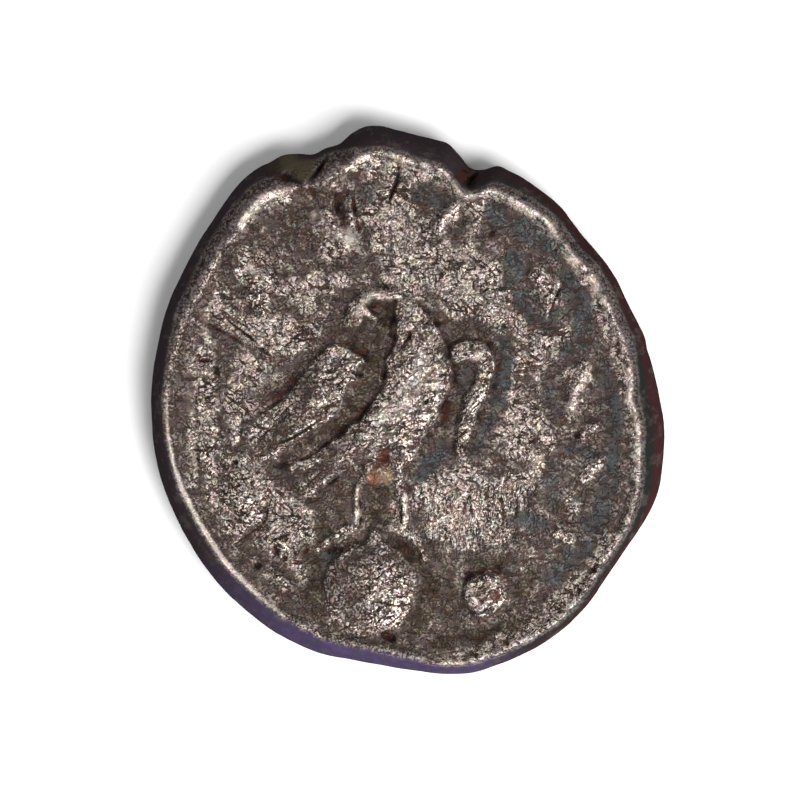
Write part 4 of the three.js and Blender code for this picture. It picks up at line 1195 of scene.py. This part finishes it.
def make_silver(look):
    """The coin's one material: bare and toned silver, slate, dirt, dark creases, painted shade and painted
    highlights, edge and underside.
    """
    shader = Shader("worn_silver")
    place = shader.node("ShaderNodeTexCoord", {}, {}, "Object")
    slate, olive, toned, bare = (shader.attribute(n) for n in ("slate", "olive", "toned", "bare"))
    rubbed_and_highlit, deep, upright, under = (shader.attribute(n) for n in ("rubbed_and_highlit", "deep", "upright", "under"))
    band, slope, stands, figure = (shader.attribute(n) for n in ("band", "slope", "open", "figure"))

    # Bent places make the creases between grains curl. The places set apart give a second grain.
    bend = shader.vector("MULTIPLY", shader.noise_colour(place, 3600, 1.0), (0.0003, 0.0003, 0.0003))
    bent = shader.vector("ADD", place, bend)
    gentle = shader.vector("ADD", place, shader.vector("MULTIPLY", bend, (0.35, 0.35, 0.35)))
    apart = shader.vector("ADD", bent, (0.031, 0.017, 0.0))

    broad = shader.noise(place, 600, 3.0)
    mottle = shader.noise(bent, 2100, 3.0, 0.65)
    torn = shader.noise(gentle, 2700, 2.0, 0.45)
    fine = shader.noise(gentle, 12500, 1.0, 0.5)
    gaps = shader.noise(apart, 2500, 2.0, 0.6)
    drawn = draw_grain(shader, gentle)

    # The masks' borders are broken up, less so on the figures.
    calm = 1 - 0.6 * figure
    uneven = (mottle - 0.5) * 1.5 * calm
    is_bare = (bare + uneven * 0.8).ramp(0.26, 0.68)
    is_slate = (slate + uneven * 1.2).ramp(0.2, 0.75)
    is_olive = (olive + uneven * 1.1).ramp(0.22, 0.85)
    is_toned = (toned + uneven * 0.7).ramp(0.2, 0.9)
    is_rubbed_and_highlit = (rubbed_and_highlit + uneven * 0.45).ramp(0.2, 0.9)
    is_dark_deposit_and_shade = (deep + uneven * 0.4).ramp(0.15, 0.65)

    gate = mottle.ramp(0.4, 0.56)
    creased = cut_creases(drawn, torn, gaps, gate, upright, figure, calm)
    creased = creased * (0.7 + 0.3 * is_bare) * (1 - band) * (1 - 0.5 * is_rubbed_and_highlit)
    speck = fine + 0.25 * (mottle - 0.5) * calm
    plate = (speck - 0.02 * figure).ramp(0.44, 0.55)
    fleck = speck.ramp(0.5, 0.58) * mottle.ramp(0.42, 0.6)
    # Places lower than their surroundings are darkened: partly dirt, partly painted shade in the recesses.
    recess_dirt_and_shade = (1 - stands.ramp(-0.09, -0.016)) * (0.3 + 0.7 * gate) * (1 - band)
    crest = stands.ramp(0.0, 0.045)

    # Metal, then the tones that lie on it.
    colour = shader.mix(broad.ramp(0.35, 0.65), look.silver_dull, look.silver)
    colour = shader.mix((1 - is_bare) * 0.8, colour, look.toned)
    colour = shader.mix(is_toned * 0.75, colour, look.toned)
    lustre = 0.45 + 0.18 * figure + 0.06 * upright
    pale = (plate * (0.02 + lustre * is_bare + 0.25 * crest) + 0.22 * fleck * (1 - is_bare)).clamp()
    colour = shader.mix(pale, colour, look.silver_bright)
    # Rubbed metal and painted highlights, in the brightest silver.
    colour = shader.mix(is_rubbed_and_highlit * 0.6, colour, look.silver_bright)
    slate_tone = shader.mix(broad.ramp(0.4, 0.6), look.slate, look.slate_blue)
    colour = shader.mix(is_slate * (1.1 - 0.25 * plate - 0.15 * fleck), colour, slate_tone)
    dirt_tone = shader.mix(mottle.ramp(0.4, 0.65), look.dirt, look.dirt_olive)
    colour = shader.mix(is_olive * (1.05 - 0.25 * plate - 0.2 * fleck), colour, dirt_tone)

    # The slope and the edge, then what is dark and sunken: deposit in creases, dirt, and painted shade in the
    # recesses and along the figures.
    slope_tone, band_tone = tone_edge(shader, look, place, slope, mottle)
    colour = shader.mix(slope.ramp(0.05, 0.5) * 0.8, colour, slope_tone)
    colour = shader.mix(band, colour, band_tone)
    colour = shader.mix(band * (mottle.ramp(0.5, 0.7) * 0.03), colour, look.silver_bright)
    colour = shader.mix((plate * slope * 0.08).clamp(), colour, look.silver_bright)
    dark_tone = shader.mix(torn.ramp(0.47, 0.53), look.dark, look.dark_red)
    colour = shader.mix(recess_dirt_and_shade * 0.8, colour, dark_tone)
    # Dark deposit in grooves and pits, and painted shade along the figures' feet and shaded sides.
    colour = shader.mix(is_dark_deposit_and_shade * 0.92, colour, dark_tone)
    colour = shader.mix(creased * 0.95, colour, dark_tone)

    # A weak tint of many hues, the stains, and the duller underside.
    tint = shader.vector("MULTIPLY", shader.noise_colour(apart, 2600, 3.0), (0.5, 0.34, 0.52))
    colour = shader.vector("MULTIPLY", colour, shader.vector("ADD", tint, (1.0, 1.0, 1.0)))
    colour = lay_stains(shader, look, bent, colour)
    worn_tops = (mottle.ramp(0.4, 0.65) * 0.25 + 0.85 * figure).clamp()
    colour = shader.mix(under * 0.75, colour, shader.mix(worn_tops, look.toned, look.silver))

    relief = (fine * 0.5 * (0.3 + 0.7 * is_bare) - creased * 0.7) * (1 - 0.85 * band)
    bump = shader.node("ShaderNodeBump", {}, {
        "Strength": look.bump, "Distance": 0.00008, "Height": relief}, "Normal")
    roughness = (0.42 + 0.15 * is_slate + 0.25 * is_olive + 0.25 * creased + 0.3 * band).clamp()
    metallic = (0.4 - 0.35 * is_olive - 0.45 * creased - 0.3 * is_slate - 0.5 * band - 0.35 * slope).clamp()
    return shader.finish(shader.node("ShaderNodeBsdfPrincipled", {}, {
        "Base Color": colour, "Roughness": roughness, "Metallic": metallic, "Normal": bump,
        "Specular IOR Level": 0.0}, "BSDF"))


# ---------------------------------------------------------------- the add-on

def tone(name, description, colour):
    """A colour that the user can change."""
    return FloatVectorProperty(name=name, description=description, subtype="COLOR", default=colour)


def length(name, description, metres):
    """A length that the user can change."""
    return FloatProperty(name=name, description=description, default=metres,
                         subtype="DISTANCE", unit="LENGTH")


class CoinLook(bpy.types.PropertyGroup):
    """Sizes and colours of the coin"""

    field_z: length("Field height", "Height of the upper field above the table", 1.45 * MM)
    crest_z: length("Border height", "Height of the border's crest above the table", 1.75 * MM)
    cells: IntProperty(name="Cells", description="Cells across the upper face", default=260, min=20, max=260)
    edge_start: FloatProperty(
        name="Edge start", description="Where the upper face ends inside the edge, in mm", default=0.05)
    spread: FloatProperty(
        name="Spread", description="How far the edge stands out of the plain solid, in mm", default=0.05)
    wear_z: FloatProperty(
        name="Wear", description="Height over which the relief is worn down, in mm", default=0.3)
    grain: FloatProperty(name="Grain", description="Strength of the etched grain", default=1.0)
    bump: FloatProperty(name="Fine grain", description="Strength of the finest grain", default=0.9)
    silver: tone("Silver", "Worn bare metal", (0.2, 0.157, 0.139))
    # Also the colour of the painted highlights on the crest and on edges that face the light.
    silver_bright: tone("Rubbed silver", "High points", (0.92, 0.79, 0.7))
    silver_dull: tone("Dull silver", "Metal out of the way of wear", (0.12, 0.092, 0.082))
    toned: tone("Toned metal", "Metal under brown tone", (0.055, 0.04, 0.036))
    slate: tone("Slate", "Smooth grey patina", (0.052, 0.05, 0.048))
    slate_blue: tone("Blue slate", "Smooth bluish patina", (0.051, 0.057, 0.062))
    # The dirt tones are also laid at the feet of the figures and under the claws, where they partly stand for
    # painted shade.
    dirt: tone("Brown dirt", "Brown dirt in the recesses", (0.034, 0.025, 0.020))
    dirt_olive: tone("Olive dirt", "Olive dirt in the recesses", (0.061, 0.05, 0.031))
    # The crease colours are also laid as painted shade in recesses, at the figures' feet and on their sides
    # away from the light.
    dark: tone("Creases", "Dark deposit in creases", (0.011, 0.008, 0.008))
    dark_red: tone("Red creases", "Reddish deposit in creases", (0.034, 0.014, 0.010))
    edge_face: tone("Right edge face", "Inner part of the edge at the right", (0.014, 0.017, 0.016))
    edge_right: tone("Right edge", "Reddish toning of the right edge", (0.036, 0.013, 0.014))
    edge: tone("Edge", "Dark toning of the edge", (0.029, 0.0215, 0.025))
    slope: tone("Edge slope", "Toning between edge and border", (0.014, 0.011, 0.012))
    # Painted light: the pale colour that the slope is shaded to near the crest, over its toning.
    slope_top_toned_and_lit: tone("Slope top", "Toning near the border's crest", (0.105, 0.088, 0.09))
    violet: tone("Violet edge", "Violet toning at the foot", (0.055, 0.04, 0.085))
    rust: tone("Rust", "Dark red spot", (0.07, 0.025, 0.018))
    tan: tone("Tan", "Tan spot", (0.2, 0.14, 0.08))
    ochre: tone("Ochre", "Orange brown spot", (0.17, 0.07, 0.04))


class StageLook(bpy.types.PropertyGroup):
    """Floor, light and view"""

    floor: tone("Floor", "Colour of the floor", (0.9, 0.9, 0.9))
    key: FloatProperty(name="Key light", description="Power of the key light", default=0.9)
    ambient: FloatProperty(name="Ambient", description="Strength of the surrounding light", default=0.2)
    view_width: length("View width", "Width that the camera takes in", 27.0 * MM)


class COIN_OT_strike(bpy.types.Operator):
    """Makes the coin's worn, struck surface in place of its plain solid"""

    bl_idname = "coin.strike"
    bl_label = "Strike the coin"

    def execute(self, context):
        look = context.scene.coin_look
        coin = strike_coin(look)
        coin.data.materials.clear()
        coin.data.materials.append(make_silver(look))
        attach(coin, "root")
        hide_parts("coin")
        return {"FINISHED"}


def lay_floor(look):
    bpy.ops.object.select_all(action="DESELECT")
    bpy.ops.mesh.primitive_plane_add(size=2, location=(0, 0, 0))
    floor = bpy.context.object
    floor.name = "floor"
    shader = Shader("pale_floor")
    floor.data.materials.append(shader.finish(shader.node(
        "ShaderNodeBsdfPrincipled", {}, {"Base Color": (*look.floor, 1.0), "Roughness": 0.9}, "BSDF")))


def hang_lamps(look):
    """A key light at the lower right, a weak fill across from it, and an even white surrounding."""
    for name, place, size, power in (
        ("key", (0.1, -0.11, 0.15), 0.15, look.key),
        ("fill", (-0.12, 0.10, 0.16), 0.2, look.key * 0.15),
    ):
        bpy.ops.object.light_add(type="AREA", location=place)
        lamp = bpy.context.object
        lamp.name = name
        lamp.data.size = size
        lamp.data.energy = power
        lamp.rotation_euler = (-Vector(place)).to_track_quat("-Z", "Y").to_euler()
    world = bpy.data.worlds.new("studio")
    world.use_nodes = True
    sky = world.node_tree.nodes["Background"]
    sky.inputs["Color"].default_value = (1, 1, 1, 1)
    sky.inputs["Strength"].default_value = look.ambient
    bpy.context.scene.world = world


def set_camera(look):
    """A long lens that looks straight down, a little left of the die's middle."""
    lens = 100.0
    sensor = 36.0
    height = EDGE_Z * MM + look.view_width * lens / sensor
    place = ((-0.24 + DIE_X) * MM, (-0.03 + DIE_Y) * MM, height)
    bpy.ops.object.camera_add(location=place, rotation=(0, 0, 0))
    camera = bpy.context.object
    camera.name = "above"
    camera.data.lens = lens
    camera.data.sensor_width = sensor
    camera.data.clip_start = 0.002
    bpy.context.scene.camera = camera
    bpy.context.scene.view_settings.view_transform = "Standard"


class COIN_OT_stage(bpy.types.Operator):
    """Lays the floor and sets the lights and the camera above it"""

    bl_idname = "coin.stage"
    bl_label = "Set the stage"

    def execute(self, context):
        look = context.scene.coin_stage
        lay_floor(look)
        hang_lamps(look)
        set_camera(look)
        return {"FINISHED"}


class COIN_PT_panel(bpy.types.Panel):
    """The coin's tools"""

    bl_idname = "COIN_PT_panel"
    bl_label = "Coin"
    bl_space_type = "VIEW_3D"
    bl_region_type = "UI"
    bl_category = "Coin"

    def draw(self, context):
        for operator in (COIN_OT_strike, COIN_OT_stage):
            self.layout.operator(operator.bl_idname)


CLASSES = (CoinLook, StageLook, COIN_OT_strike, COIN_OT_stage, COIN_PT_panel)


def register():
    for each in CLASSES:
        bpy.utils.register_class(each)
    bpy.types.Scene.coin_look = PointerProperty(type=CoinLook)
    bpy.types.Scene.coin_stage = PointerProperty(type=StageLook)


def unregister():
    del bpy.types.Scene.coin_stage
    del bpy.types.Scene.coin_look
    for each in reversed(CLASSES):
        bpy.utils.unregister_class(each)


def main():
    register()
    bpy.ops.coin.strike()
    bpy.ops.coin.stage()


if __name__ == "__main__":
    main()
